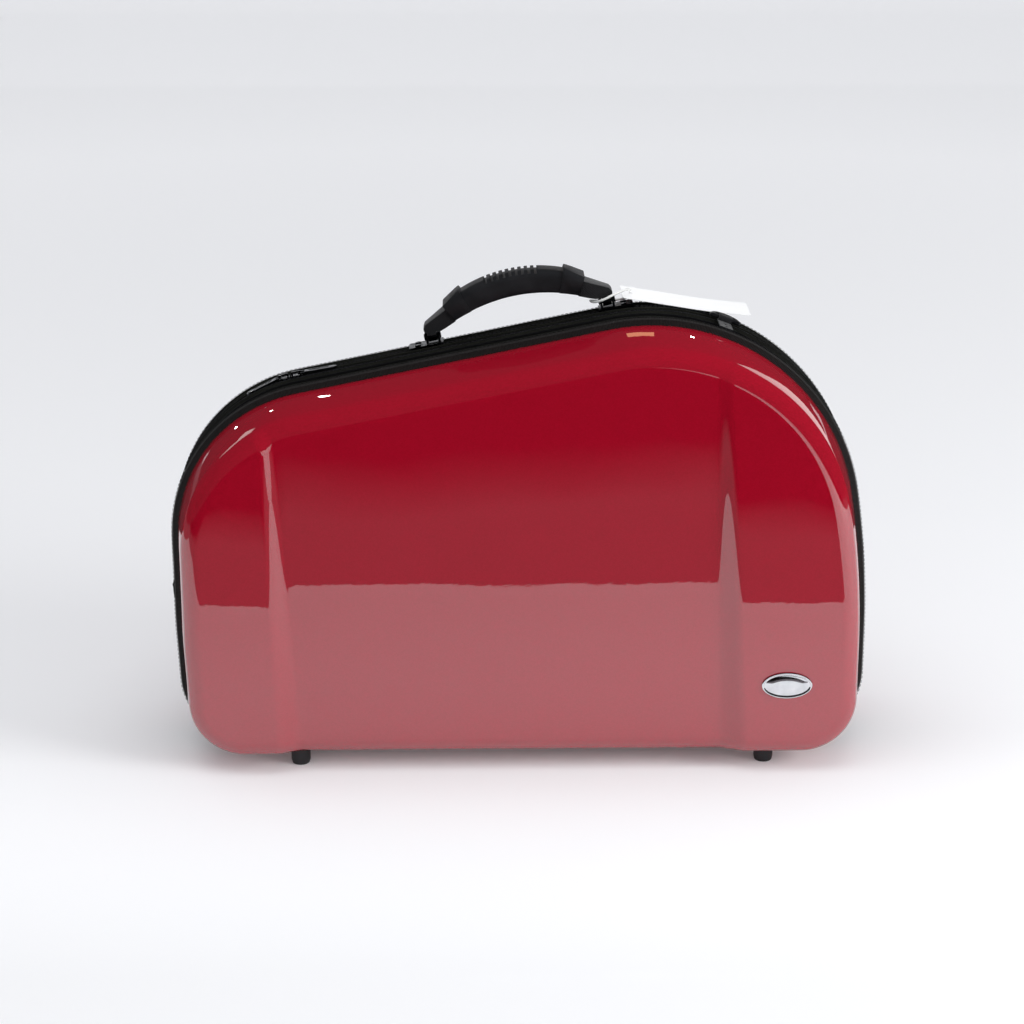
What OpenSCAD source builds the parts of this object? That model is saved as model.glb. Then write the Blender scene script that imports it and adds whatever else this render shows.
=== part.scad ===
// Hard case for a french horn with a screw-off bell, standing on its long side.
// Two moulded fibreglass shells meet in a soft band that holds the zip.
//
// Everything is drawn lying on its back: X to the right, Y up the case, Z towards the
// front, with Z = 0 in the middle of the band and Y = 0 at the lowest point of the shell
// rims. upright() then stands it on its feet.

/* [Outline of the shell rims] */
// Width across the two sides
rim_w = 600; // [500:5:720]
// Height of the sloping top above the bottom, on the centre line
mid_h = 357; // [300:1:430]
// Slope of the top, rising to the bell end, in degrees
top_slope = 11.6; // [6:0.2:15]
// Radius of the shoulder at the low end
shoulder_r = 132; // [100:1:150]
// Radius of the crown over the bell
crown_r = 180; // [150:1:190]
// Radius of the two bottom corners
corner_r = 55; // [46:1:66]
// Height of the bend in the bell end side
knee_right_h = 158; // [130:1:170]
// Lean of the bell end side above its bend, in degrees
lean_right = 9.4; // [6:0.2:11]
// Height of the bend in the low end side
knee_left_h = 107; // [90:1:115]
// Lean of the low end side below its bend, in degrees
lean_left = 2.6; // [1:0.2:4]
// Radius at the bend of the bell end side
knee_right_r = 800; // [600:10:900]
// Radius at the bend of the low end side
knee_left_r = 400; // [300:10:600]

/* [Shells] */
// Depth of each shell from its rim
shell_depth = 62; // [52:1:75]
// Wall of the shells
shell_wall = 3; // [2:0.1:4]
// Draft of the shell sides, in degrees
shell_draft = 8; // [4:0.5:9]
// Radius between the sides and the face
shell_fillet = 22; // [16:1:26]
// Depth of the middle panel below the side panels, at the bottom
panel_drop = 9; // [4:0.5:12]

/* [Soft band] */
// Depth of the whole band, from shell to shell
band_depth = 66; // [56:1:80]
// How far the band stands out from the shell rims
band_proud = 6; // [4:0.5:8]
// Thickness of the band's board, inside the rims
band_inside = 2.5; // [1.5:0.5:4]
// Width of each edge binding
binding_w = 6; // [4:0.5:8]
// Distance of the zip behind the middle of the band
zip_offset = 5; // [0:0.5:8]
// Width of the zip's channel
zip_channel = 10; // [9.6:0.2:12]
// Gap between the two rows of the zip chain
zip_gap = 2; // [1.8:0.1:2.4]

/* [Feet] */
// Ground clearance below the band
foot_clear = 8; // [6:0.5:12]
// Diameter of a foot
foot_d = 17; // [14:0.5:20]
// Distance of the feet from the middle of the band
foot_out = 62; // [58:0.5:66]
// Distance of the feet at the low end from that side
foot_left_in = 104; // [80:1:150]
// Distance of the feet at the bell end from that side
foot_right_in = 85; // [75:1:150]

/* [Handle] */
// Place of the handle's middle along X
handle_x = 2; // [-20:1:10]
// Distance of the handle behind the middle of the band
handle_back = 20; // [19:0.5:22]
// Distance between the two hinge eyes
handle_span = 155.4; // [140:0.2:170]
// Height of the top of the grip over the band
grip_top = 50.7; // [46:0.1:60]
// Thickness of the grip
grip_t = 22.7; // [18:0.1:25]
// Width of the grip
grip_w = 28; // [24:0.5:30]
// Number of grooves in the grip
groove_count = 9; // [5:1:11]
// Diameter of the hinge pins
pin_d = 4; // [3:0.1:4.6]

/* [Zip pulls, rings and badge] */
// Length of a zip slider
slider_l = 10; // [9:0.5:12]
// Length of a zip pull
pull_l = 30; // [22:1:36]
// Outer width of a strap ring
ring_w = 28.4; // [24:0.2:34]
// Thickness of a strap ring
ring_t = 4; // [3.4:0.1:5]
// Width of the strap tabs
tab_w = 12; // [9:0.5:14]
// Width of the badge
badge_w = 44; // [36:1:52]
// Height of the badge
badge_h = 24; // [18:1:30]
// Length of the swing tag
tag_l = 114; // [80:1:120]
// Width of the swing tag
tag_w = 48; // [38:1:50]

/* [Inside] */
// Diameter of the wells that hold the bell
bell_d = 300; // [250:1:310]
// Least foam between the bell's well and the shell rims
bell_in = 30; // [20:1:34]
// Foam left at the floor of each well
foam_floor = 12; // [8:1:18]

/* [Hidden] */
$fn = 64;
fit = 0.05;        // running clearance of a pin in its eye, on the radius
seat = 0.3;        // gap between pieces that only lie on each other

rim_z = foot_clear + band_proud;
half = band_depth / 2;
chan_front = -zip_offset + zip_channel / 2;
chan_rear = -zip_offset - zip_channel / 2;
wall_side = shell_wall / cos(shell_draft);

red = "#9c1430";
black = "#26262a";
rubber = "#1c1c1e";
steel = "#b9bcc2";

// ---- Outline: straight edges between rounded corners, counterclockwise ----

function lerp(a, b, t) = a + (b - a) * t;
function unit(v) = v / norm(v);
function left_of(v) = [-v.y, v.x];
function right_of(v) = [v.y, -v.x];
function heading(v) = atan2(v.y, v.x);

// Where the sloping top meets the leaning bell end side
crown_x = (rim_w / 2 - (mid_h - knee_right_h) * tan(lean_right))
    / (1 + tan(top_slope) * tan(lean_right));

corners = [
    [[-rim_w / 2 + knee_left_h * tan(lean_left), 0], corner_r],
    [[rim_w / 2, 0], corner_r],
    [[rim_w / 2, knee_right_h], knee_right_r],
    [[crown_x, mid_h + crown_x * tan(top_slope)], crown_r],
    [[-rim_w / 2, mid_h - rim_w / 2 * tan(top_slope)], shoulder_r],
    [[-rim_w / 2, knee_left_h], knee_left_r]
];
LAST = len(corners) - 1;
BOTTOM_LEFT = 0;
BOTTOM_RIGHT = 1;
KNEE_RIGHT = 2;
CROWN = 3;
SHOULDER = 4;
KNEE_LEFT = 5;

function spot(i) = corners[i > LAST ? 0 : i < 0 ? LAST : i][0];
function dir_in(i) = unit(spot(i) - spot(i - 1));
function dir_out(i) = unit(spot(i + 1) - spot(i));
function turn(i) = let (t = heading(dir_out(i)) - heading(dir_in(i))) t < 0 ? t + 360 : t;
function reach(i) = corners[i][1] * tan(turn(i) / 2);
function arc_start(i) = spot(i) - dir_in(i) * reach(i);
function arc_end(i) = spot(i) + dir_out(i) * reach(i);
function centre(i) = arc_start(i) + left_of(dir_in(i)) * corners[i][1];
function radius(i) = corners[i][1];

// The centre of a circle that touches both edges of a corner
function nested(i, r) = spot(i) - dir_in(i) * r * tan(turn(i) / 2) + left_of(dir_in(i)) * r;

// A point of the rim with its outward normal: [[x, y], [nx, ny]]
function on_circle(i, n) = [centre(i) + n * radius(i), n];
function on_edge(i, p) = [p, right_of(dir_out(i))];

// The rim's upper side and lower side at a given X, and its two sides at a given Y
function upper(x) =
    x < arc_start(SHOULDER).x
    ? on_circle(SHOULDER, let (s = (x - centre(SHOULDER).x) / shoulder_r) [s, sqrt(1 - s * s)])
    : x > arc_end(CROWN).x
    ? on_circle(CROWN, let (s = (x - centre(CROWN).x) / crown_r) [s, sqrt(1 - s * s)])
    : on_edge(CROWN, [x, mid_h + x * tan(top_slope)]);
function lower(x) =
    x < arc_end(BOTTOM_LEFT).x
    ? on_circle(BOTTOM_LEFT, let (s = (x - centre(BOTTOM_LEFT).x) / corner_r) [s, -sqrt(1 - s * s)])
    : x > arc_start(BOTTOM_RIGHT).x
    ? on_circle(BOTTOM_RIGHT, let (s = (x - centre(BOTTOM_RIGHT).x) / corner_r) [s, -sqrt(1 - s * s)])
    : on_edge(BOTTOM_LEFT, [x, 0]);
function arc_side(i, y, side) =
    on_circle(i, let (s = (y - centre(i).y) / radius(i)) [side * sqrt(1 - s * s), s]);
function edge_side(i, y) =
    on_edge(i, arc_end(i) + dir_out(i) * (y - arc_end(i).y) / dir_out(i).y);
function right_side(y) =
    y < arc_end(BOTTOM_RIGHT).y ? arc_side(BOTTOM_RIGHT, y, 1)
    : y < arc_start(KNEE_RIGHT).y ? edge_side(BOTTOM_RIGHT, y)
    : y < arc_end(KNEE_RIGHT).y ? arc_side(KNEE_RIGHT, y, 1)
    : y < arc_start(CROWN).y ? edge_side(KNEE_RIGHT, y)
    : arc_side(CROWN, y, 1);
function left_side(y) =
    y < arc_start(BOTTOM_LEFT).y ? arc_side(BOTTOM_LEFT, y, -1)
    : y < arc_end(KNEE_LEFT).y ? edge_side(KNEE_LEFT, y)
    : y < arc_start(KNEE_LEFT).y ? arc_side(KNEE_LEFT, y, -1)
    : y < arc_end(SHOULDER).y ? edge_side(SHOULDER, y)
    : arc_side(SHOULDER, y, -1);

// ---- Placing and sweeping ----

module upright() {
    translate([0, 0, rim_z]) rotate([90, 0, 0]) children();
}

// Children keep X along the sloping top and Y out of the band, at this X
module on_top(x, d = 0) {
    translate([x, mid_h + x * tan(top_slope), d]) rotate([0, 0, top_slope])
        translate([0, band_proud, 0]) children();
}

// The same on a corner's arc, this many degrees clockwise of straight up
module on_arc(i, a, d = 0) {
    translate([centre(i).x, centre(i).y, d]) rotate([0, 0, -a])
        translate([0, radius(i) + band_proud, 0]) children();
}

// ---- Shells: rings down the side and round the fillet, then a grid over the face ----

CORNER_STEPS = 5;
PANEL_COLS = 2;
RAMP_COLS = 4;
TOP_COLS = 2;       // between a ramp and the start of the top's straight
CROWN_COLS = 5;     // under the crown's curve
SIDE_ROWS = 4;
SIDE_COLS = CORNER_STEPS + PANEL_COLS;
COLS = 2 * (SIDE_COLS + RAMP_COLS) + TOP_COLS + 1 + CROWN_COLS;
ROWS = 2 * CORNER_STEPS + SIDE_ROWS;
FILLET_STEPS = 4;

// Where the ramps beside the middle panel run, at the bottom and at the top
ramp_left_x = [for (v = [[88, 106], [81, 88]]) [v[0] - rim_w / 2, v[1] - rim_w / 2]];
ramp_right_x = [for (v = [[128, 106], [129, 123]]) [rim_w / 2 - v[0], rim_w / 2 - v[1]]];

// The face's grid runs between four points on the rounded corners
function spread(a, b, n) = [for (k = [1 : n]) lerp(a, b, k / n)];
function along_x(i, from, to, n) =
    [for (k = [0 : n]) centre(i).x + radius(i) * cos(lerp(from, to, k / n))];
function along_y(i, from, to, n) =
    [for (k = [0 : n]) centre(i).y + radius(i) * sin(lerp(from, to, k / n))];
straight_x = [arc_start(SHOULDER).x + 20, arc_start(SHOULDER).x];
function columns(k, left, right) = concat(
    left,
    spread(left[CORNER_STEPS], ramp_left_x[k][0], PANEL_COLS),
    spread(ramp_left_x[k][0], ramp_left_x[k][1], RAMP_COLS),
    spread(ramp_left_x[k][1], straight_x[k], TOP_COLS),
    [arc_end(CROWN).x],
    spread(arc_end(CROWN).x, ramp_right_x[k][0], CROWN_COLS),
    spread(ramp_right_x[k][0], ramp_right_x[k][1], RAMP_COLS),
    spread(ramp_right_x[k][1], right[0], PANEL_COLS),
    [for (k = [1 : CORNER_STEPS]) right[k]]
);
low_x = columns(0, along_x(BOTTOM_LEFT, 225, 270, CORNER_STEPS),
    along_x(BOTTOM_RIGHT, -90, -45, CORNER_STEPS));
top_x = columns(1, along_x(SHOULDER, 146, 122, CORNER_STEPS),
    along_x(CROWN, 62, 38, CORNER_STEPS));
function rows(low, high) = concat(
    low, spread(low[CORNER_STEPS], high[0], SIDE_ROWS), [for (k = [1 : CORNER_STEPS]) high[k]]
);
left_y = rows(along_y(BOTTOM_LEFT, 225, 180, CORNER_STEPS),
    along_y(SHOULDER, 180, 146, CORNER_STEPS));
right_y = rows(along_y(BOTTOM_RIGHT, -45, 0, CORNER_STEPS),
    along_y(CROWN, lean_right, 38, CORNER_STEPS));

function smooth(t) = t * t * (3 - 2 * t);
function ramp_share(i) =
    i <= SIDE_COLS || i >= COLS - SIDE_COLS ? 0
    : i < SIDE_COLS + RAMP_COLS ? smooth((i - SIDE_COLS) / RAMP_COLS)
    : i > COLS - SIDE_COLS - RAMP_COLS ? smooth((COLS - SIDE_COLS - i) / RAMP_COLS)
    : 1;

crown_h = centre(CROWN).y + crown_r;
function drop_at(share, y) = share * panel_drop * min(1, (crown_h - y) / (crown_h - shell_fillet));

// The rim's points, from the lower left, along the bottom, up, along the top and down
RIM = concat(
    [for (i = [0 : COLS]) concat(lower(low_x[i]), [ramp_share(i)])],
    [for (j = [1 : ROWS - 1]) concat(right_side(right_y[j]), [0])],
    [for (i = [COLS : -1 : 0]) concat(upper(top_x[i]), [ramp_share(i)])],
    [for (j = [ROWS - 1 : -1 : 1]) concat(left_side(left_y[j]), [0])]
);
RING = len(RIM);

// Centre of the fillet at a rim point, inwards from the rim and above it
function fillet_centre(q) =
    let (up = shell_depth - drop_at(q[2], q[0].y) - shell_fillet)
    [-(shell_fillet + up * sin(shell_draft)) / cos(shell_draft), up];

function ring_at(q, r, a) =
    let (c = fillet_centre(q), out = c.x + r * cos(a))
    [q[0].x + q[1].x * out, q[0].y + q[1].y * out, half + c.y + r * sin(a)];
function rim_at(q, out) = [q[0].x + q[1].x * out, q[0].y + q[1].y * out, half];

// One skin: the rim, the rings of the fillet, then the face between its boundary points
function grid_id(i, j) =
    j == 0 ? i : i == COLS ? COLS + j : j == ROWS ? 2 * COLS + ROWS - i
    : i == 0 ? 2 * COLS + 2 * ROWS - j : -1;
function skin(out, r) =
    let (
        edge = [for (q = RIM) ring_at(q, r, 90)],
        lift = half + shell_depth - shell_fillet + r
    )
    concat(
        [for (q = RIM) rim_at(q, out)],
        [for (k = [0 : FILLET_STEPS]) for (q = RIM)
            ring_at(q, r, lerp(shell_draft, 90, k / FILLET_STEPS))],
        [for (j = [1 : ROWS - 1]) for (i = [1 : COLS - 1])
            let (p = lerp(edge[grid_id(i, 0)], edge[grid_id(i, ROWS)], j / ROWS))
            [p.x, p.y, lift - drop_at(ramp_share(i), p.y)]]
    );
function face_id(i, j) =
    grid_id(i, j) >= 0 ? (FILLET_STEPS + 1) * RING + grid_id(i, j)
    : (FILLET_STEPS + 2) * RING + (j - 1) * (COLS - 1) + i - 1;
function quad(a, b, c, d) = [[a, b, c], [a, c, d]];
function skin_faces() = concat(
    [for (k = [0 : FILLET_STEPS]) for (j = [0 : RING - 1])
        let (n = (j + 1) % RING)
        each quad(k * RING + j, (k + 1) * RING + j, (k + 1) * RING + n, k * RING + n)],
    [for (j = [0 : ROWS - 1]) for (i = [0 : COLS - 1])
        each quad(face_id(i, j), face_id(i, j + 1), face_id(i + 1, j + 1), face_id(i + 1, j))]
);

module shell() {
    outer = skin(0, shell_fillet);
    inner = skin(-wall_side, shell_fillet - shell_wall);
    base = len(outer);
    polyhedron(
        points = concat(outer, inner),
        faces = concat(
            skin_faces(),
            [for (f = skin_faces()) [f[2] + base, f[1] + base, f[0] + base]],
            [for (j = [0 : RING - 1])
                let (n = (j + 1) % RING)
                each quad(j, n, n + base, j + base)]
        ),
        convexity = 6
    );
}

module standing_shell() {
    difference() {
        upright() shell();
        foot_holes();
    }
}

module front_shell() { color(red) standing_shell(); }
module rear_shell() { color(red) at_rear() standing_shell(); }

// ---- Band: board, bindings, zip and the fabric hinge ----

tape_out = 3.4;      // outer face of the zip tape, outwards from the rim
tape_t = 1.2;
tape_tuck = 6;       // how far the tape goes into the board
bead_h = 2.4;        // the woven chain along the tape's edge
bead_w = 2;
tongue_t = 1.9;      // flap of the board glued inside the shell
tongue_l = 7;
shelf_t = 5;         // thickness of the board where it turns in under the shell's rim
glue = 0.5;          // between the flap and the shell

// The rim from the hinge's right end round to its left end, each as a point and its normal
BAND_STEPS = [9, 9, 3, 14, 12, 1];
BAND = [for (i = [BOTTOM_RIGHT, KNEE_RIGHT, CROWN, SHOULDER, KNEE_LEFT, BOTTOM_LEFT])
    for (k = [0 : BAND_STEPS[i]])
        let (a = heading(right_of(dir_in(i))) + turn(i) * k / BAND_STEPS[i])
        on_circle(i, [cos(a), sin(a)])];

// Sweeps a profile ([outwards from the rim, depth] counterclockwise) along those points,
// all round or, when the triangles that close its ends are given, open at the hinge
module sweep_band(profile, cap = []) {
    n = len(profile);
    size = len(BAND);
    closed = len(cap) == 0;
    sides = [for (i = [0 : closed ? size - 1 : size - 2]) for (k = [0 : n - 1])
        let (m = (i + 1) % size, l = (k + 1) % n)
        each quad(i * n + k, m * n + k, m * n + l, i * n + l)];
    ends = [for (t = cap) each [t, [for (k = [2, 1, 0]) (size - 1) * n + t[k]]]];
    polyhedron(
        points = [for (q = BAND) for (v = profile) concat(q[0] + q[1] * v.x, v.y)],
        faces = concat(sides, ends),
        convexity = 6
    );
}

// From the zip's channel to the shell, with the slot for the tape and the glued flap
flap_in = -wall_side - glue;
tongue_in = flap_in - tongue_l * tan(shell_draft) - tongue_t;

function gusset_profile(edge) =
    let (bind = half - binding_w, flap = tongue_in + tongue_t)
    [
        [band_proud, edge], [band_proud, bind], [0, bind], [0, half], [flap_in, half],
        [flap, half + tongue_l], [tongue_in, half + tongue_l],
        [tongue_in, bind - shelf_t], [-band_inside, bind - shelf_t - 4], [-band_inside, edge],
        [tape_out - tape_t, edge], [tape_out - tape_t, edge + tape_tuck],
        [tape_out, edge + tape_tuck], [tape_out, edge]
    ];

// A strip rolled over the edge of the board, round on its outer corners
binding_profile =
    let (r = min(2, band_proud / 3), low = half - binding_w)
    concat(
        [[0, half], [0, low]],
        [for (a = [-80, -45, -10]) [band_proud - r + r * cos(a), low + r + r * sin(a)]],
        [for (a = [10, 45, 80]) [band_proud - r + r * cos(a), half - r + r * sin(a)]]
    );

// Half of the zip: its tape, and the chain at the tape's edge beside the gap between the halves
zip_profile =
    let (chain = zip_gap / 2, deep = zip_channel / 2 + tape_tuck, low = tape_out - tape_t)
    [
        [low, chain], [low + bead_h, chain], [low + bead_h, chain + bead_w],
        [tape_out, chain + bead_w], [tape_out, deep], [low, deep]
    ];
zip_ends = [[0, 1, 2], [0, 2, 3], [0, 3, 4], [0, 4, 5]];

module front_gusset() { color(black) upright() sweep_band(gusset_profile(chan_front)); }
module rear_gusset() {
    color(black) upright() mirror([0, 0, 1]) sweep_band(gusset_profile(-chan_rear));
}
module front_binding() { color("#303034") upright() sweep_band(binding_profile); }
module rear_binding() {
    color("#303034") upright() mirror([0, 0, 1]) sweep_band(binding_profile);
}
module front_zip() {
    color("#141416") upright() translate([0, 0, -zip_offset]) sweep_band(zip_profile, zip_ends);
}
module rear_zip() {
    color("#141416") upright() translate([0, 0, -zip_offset]) mirror([0, 0, 1])
        sweep_band(zip_profile, zip_ends);
}

// The lid turns about the outer face of this strip
hinge_t = 1.2;

module hinge_web() {
    left = arc_end(BOTTOM_LEFT).x;
    color(black) upright() translate([left, -band_proud + 0.2, chan_rear])
        cube([arc_start(BOTTOM_RIGHT).x - left, hinge_t, zip_channel]);
}

// ---- Foam liners with wells for the bell and the body of the horn ----

liner_top = half + shell_depth - shell_wall - panel_drop - seat;

// The shell's inner wall at a depth, outwards from the rim, at its lowest panel
fillet_low = shell_depth - panel_drop - shell_fillet;
fillet_in = -(shell_fillet + fillet_low * sin(shell_draft)) / cos(shell_draft);
function inner_wall(d) =
    let (up = d - half - fillet_low, r = shell_fillet - shell_wall)
    up < r * sin(shell_draft)
    ? -wall_side - (d - half) * tan(shell_draft)
    : fillet_in + sqrt(r * r - up * up);

// The block's sides follow the shell's wall through these depths
flats = 1.8;        // the flats of the shell's curves stand this far in
liner_depths = [for (t = [0.6, 0.8, 0.92, 1]) lerp(half, liner_top, t)];
function layer_in(d) = min(tongue_in, inner_wall(d) - flats) - seat;

module liner_solid(low) {
    depths = concat([low], liner_depths);
    size = len(BAND);
    top = len(depths) - 1;
    polyhedron(
        points = [for (d = depths) for (q = BAND) concat(q[0] + q[1] * layer_in(max(d, half)), d)],
        faces = concat(
            [[for (i = [size - 1 : -1 : 0]) i], [for (i = [0 : size - 1]) top * size + i]],
            [for (k = [0 : top - 1]) for (i = [0 : size - 1])
                let (m = (i + 1) % size)
                each quad(k * size + i, k * size + m, (k + 1) * size + m, (k + 1) * size + i)]
        ),
        convexity = 4
    );
}

// The bell lies in the crown, and clear of its two edges where its well is the larger
bell_at = nested(CROWN, max(crown_r, bell_d / 2 + bell_in));
body_at = [-rim_w / 2 + 148, 122];
body_d = 210;
body_step = 8;          // the horn's body lies this much less deep than its bell

// From this depth to the face of the shell, with its wells cut from the open side
module liner_block(low) {
    deep = liner_top - foam_floor;
    difference() {
        liner_solid(low);
        translate([bell_at.x, bell_at.y, low - 1])
            cylinder(d = bell_d, h = deep - low + 1, $fn = 120);
        translate([body_at.x, body_at.y, low - 1])
            cylinder(d = body_d, h = deep - body_step - low + 1, $fn = 120);
        translate([body_at.x, body_at.y - body_d / 2 + 8, low - 1])
            cube([body_d / 2 + 30, body_d - 16, deep - body_step - low + 1]);
    }
}

module front_liner() { color("#55555c") upright() liner_block(seat / 2 - zip_offset); }
module rear_liner() {
    color("#55555c") upright() mirror([0, 0, 1]) liner_block(seat / 2 + zip_offset);
}

// ---- Feet, screwed to the shells ----

foot_left_x = foot_left_in - rim_w / 2;
foot_right_x = rim_w / 2 - foot_right_in;
screw_d = 4;
head_d = 8;

// Height of the shell's underside over the middle of a foot
foot_top = rim_z + (foot_out - half) * tan(shell_draft);

module foot_holes() {
    for (x = [foot_left_x, foot_right_x]) translate([x, -foot_out, foot_top - 5])
        cylinder(d = screw_d + 0.1, h = shell_wall + 10);
}

module foot(x) {
    difference() {
        translate([x, -foot_out, 0]) union() {
            cylinder(d1 = foot_d - 2, d2 = foot_d, h = 4);
            translate([0, 0, 4]) cylinder(d = foot_d, h = foot_top);
        }
        // Cut to the slanting underside of the shell
        translate([x - foot_d, -foot_out, foot_top - 0.05]) rotate([-shell_draft, 0, 0])
            translate([0, -foot_d, 0]) cube([2 * foot_d, 2 * foot_d, 2 * foot_d]);
        translate([x, -foot_out, -1]) cylinder(d = screw_d + 0.1, h = foot_top + 9);
        translate([x, -foot_out, -1]) cylinder(d = head_d + 0.4, h = 4);
    }
}

// Screwed through the foot and the wall of the shell
module foot_screw(x) {
    translate([x, -foot_out, 0.6]) {
        difference() {
            cylinder(d = head_d, h = 2.4);
            translate([0, 0, -1]) cylinder(d = 3, h = 2.2, $fn = 6);
        }
        translate([0, 0, 2.4]) cylinder(d = screw_d, h = foot_top + shell_wall - 3);
    }
}

module at_rear() { mirror([0, 1, 0]) children(); }

// ---- Handle ----

eye_h = 7;             // height of the hinge pins over the band
eye_d = 9;
eye_l = 8;             // length of an eye along its pin
strap_t = 3;           // the steel and webbing core inside the grip
strap_w = 20;
ear_clear = 12.2;       // underside of the webbing, over the brackets' ears
sweep_mid = -75;       // centre of the grip's curve, below the band's face
grip_end = 30;         // half the grip's angle
collar_start = 21.4;
collar_rise = 3;

module at_handle() { upright() on_top(handle_x, -handle_back) children(); }

module rounded(w, h, r) {
    square([w - 2 * r, h], center = true);
    square([w, h - 2 * r], center = true);
    for (x = [-1, 1], y = [-1, 1]) translate([x * (w / 2 - r), y * (h / 2 - r)]) circle(r);
}

// Sweeps a section (X outwards, Y across) along the handle's curve between two angles
module along_grip(from, to) {
    translate([0, sweep_mid, 0]) rotate([0, 0, 90 - to]) rotate_extrude(angle = to - from)
        translate([grip_top - sweep_mid - grip_t / 2, 0]) children();
}

module handle_grip() {
    groove = 2.6;
    pitch = 5.6 / (grip_top - sweep_mid) * 180 / PI;
    peak_r = grip_top - sweep_mid + collar_rise;
    peak = [peak_r * sin(collar_start), peak_r * cos(collar_start) + sweep_mid];
    foot_r = grip_top - sweep_mid;
    foot = [foot_r * sin(grip_end + 1), foot_r * cos(grip_end + 1) + sweep_mid];
    color(rubber) at_handle() difference() {
        union() {
            along_grip(-grip_end, grip_end) rounded(grip_t, grip_w, 7);
            for (m = [0, 1]) mirror([m, 0, 0]) difference() {
                along_grip(collar_start, grip_end)
                    rounded(grip_t + 2 * collar_rise, grip_w + 2, 8);
                // The collar's top falls in a straight line to the end of the grip
                translate(peak) rotate([0, 0, heading(foot - peak)])
                    translate([-20, 0, -grip_w]) cube([60, 20, 2 * grip_w]);
                // and its underside stands out less than its top
                translate([0, sweep_mid, -grip_w])
                    cylinder(r = foot_r - grip_t - 1.5, h = 2 * grip_w, $fn = 180);
            }
        }
        along_grip(-grip_end - 2, grip_end + 2) square([strap_t, strap_w], center = true);
        for (k = [0 : groove_count - 1])
            translate([0, sweep_mid, 0])
                rotate([0, 0, -(k - (groove_count - 1) / 2) * pitch])
                    translate([-groove / 2, foot_r - 3, -grip_w])
                        cube([groove, 10, 2 * grip_w]);
    }
}

// Padded webbing ends, joined through the grip by a flat core
module handle_strap() {
    half_span = handle_span / 2;
    end_x = (grip_top - sweep_mid) * sin(grip_end);
    color("#202024") at_handle() {
        along_grip(-grip_end - 1, grip_end + 1) square([strap_t, strap_w], center = true);
        for (m = [0, 1]) mirror([m, 0, 0]) difference() {
            intersection() {
                translate([0, 0, -15]) linear_extrude(30) polygon([
                    [end_x - 3.5, 31.3], [half_span + 4.3, 19.3], [half_span + 6.3, 16],
                    [half_span + 6, ear_clear + 1], [half_span + 4, ear_clear],
                    [half_span + 3.8, eye_h + 2.6], [half_span - 3.8, eye_h + 2.6],
                    [half_span - 4, ear_clear], [half_span - 9, ear_clear],
                    [end_x - 10, 19]
                ]);
                rotate([-90, 0, 0]) translate([0, 0, -1]) linear_extrude(60) polygon([
                    [end_x - 14, -13], [end_x, -12.5], [half_span, -9], [half_span + 9, -7.5],
                    [half_span + 9, 7.5], [half_span, 9], [end_x, 12.5], [end_x - 14, 13]
                ]);
            }
            translate([0, sweep_mid, -20]) rotate([0, 0, 90 - grip_end]) cube([300, 200, 40]);
            handle_eye_neck(half_span);
        }
    }
}

module handle_eye_neck(x) {
    translate([x - 2, eye_h, -3]) cube([4, 9, 6]);
}

module handle_eye(side) {
    x = handle_span / 2;
    color(steel) at_handle() mirror([side, 0, 0]) difference() {
        union() {
            translate([x - eye_l / 2, eye_h, 0]) rotate([0, 90, 0]) cylinder(d = eye_d, h = eye_l);
            intersection() {
                handle_eye_neck(x);
                translate([x - 10, eye_h, -10]) cube([20, 20, 20]);
            }
        }
        translate([x - eye_l, eye_h, 0]) rotate([0, 90, 0])
            cylinder(d = pin_d + 2 * fit, h = 2 * eye_l);
        // The webbing starts here
        translate([x - 10, eye_h + 2.6, 3]) cube([20, 10, 10]);
        translate([x - 10, eye_h + 2.6, -13]) cube([20, 10, 10]);
        for (s = [-12, 2]) translate([x + s, eye_h + 2.6, -10]) cube([10, 10, 20]);
    }
}

ear_t = 2;
ear_w = 11;
bracket_w = 18;
bracket_t = 1.8;
bracket_in = 8.5;      // reach of the base plate inside its hinge, and outside it
bracket_out = 22;
rivet_d = 3;

module handle_bracket(side) {
    x = handle_span / 2;
    color(steel) at_handle() difference() {
        mirror([side, 0, 0]) difference() {
            union() {
                translate([x - bracket_in, -4, -bracket_w / 2])
                    cube([bracket_in + bracket_out, 4 + bracket_t, bracket_w]);
                for (s = [-1, 1])
                    translate([x + s * (eye_l / 2 + seat + ear_t / 2) - ear_t / 2, 0, 0]) {
                        translate([0, eye_h, 0]) rotate([0, 90, 0]) cylinder(d = ear_w - 2, h = ear_t);
                        translate([0, 0, -ear_w / 2 + 1]) cube([ear_t, eye_h, ear_w - 2]);
                    }
            }
            translate([x - 20, eye_h, 0]) rotate([0, 90, 0]) cylinder(d = pin_d + 0.06, h = 40);
            for (d = [-1, 1]) translate([x + 14, 10, d * 5]) rotate([90, 0, 0])
                cylinder(d = rivet_d, h = 20);
        }
        band_below(side);
    }
}

// The band itself under a bracket: straight, and round past the start of the crown
module band_below(side) {
    sag = crown_r + band_proud;
    start = (arc_end(CROWN).x - handle_x) / cos(top_slope);
    if (side == 1) translate([-400, -100, -50]) cube([400, 100, 100]);
    else {
        translate([-400, -100, -50]) cube([400 + start, 100, 100]);
        translate([start, -sag, -50]) cylinder(r = sag, h = 100, $fn = 360);
    }
}

module bracket_rivets(side) {
    x = handle_span / 2 + 14;
    color(steel) at_handle() mirror([side, 0, 0]) for (d = [-1, 1])
        translate([x, 0, d * 5]) rotate([-90, 0, 0]) {
            translate([0, 0, 0.4]) cylinder(d = rivet_d, h = bracket_t - 0.4);
            translate([0, 0, bracket_t]) cylinder(d = rivet_d + 2.6, h = 1);
        }
}

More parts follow.
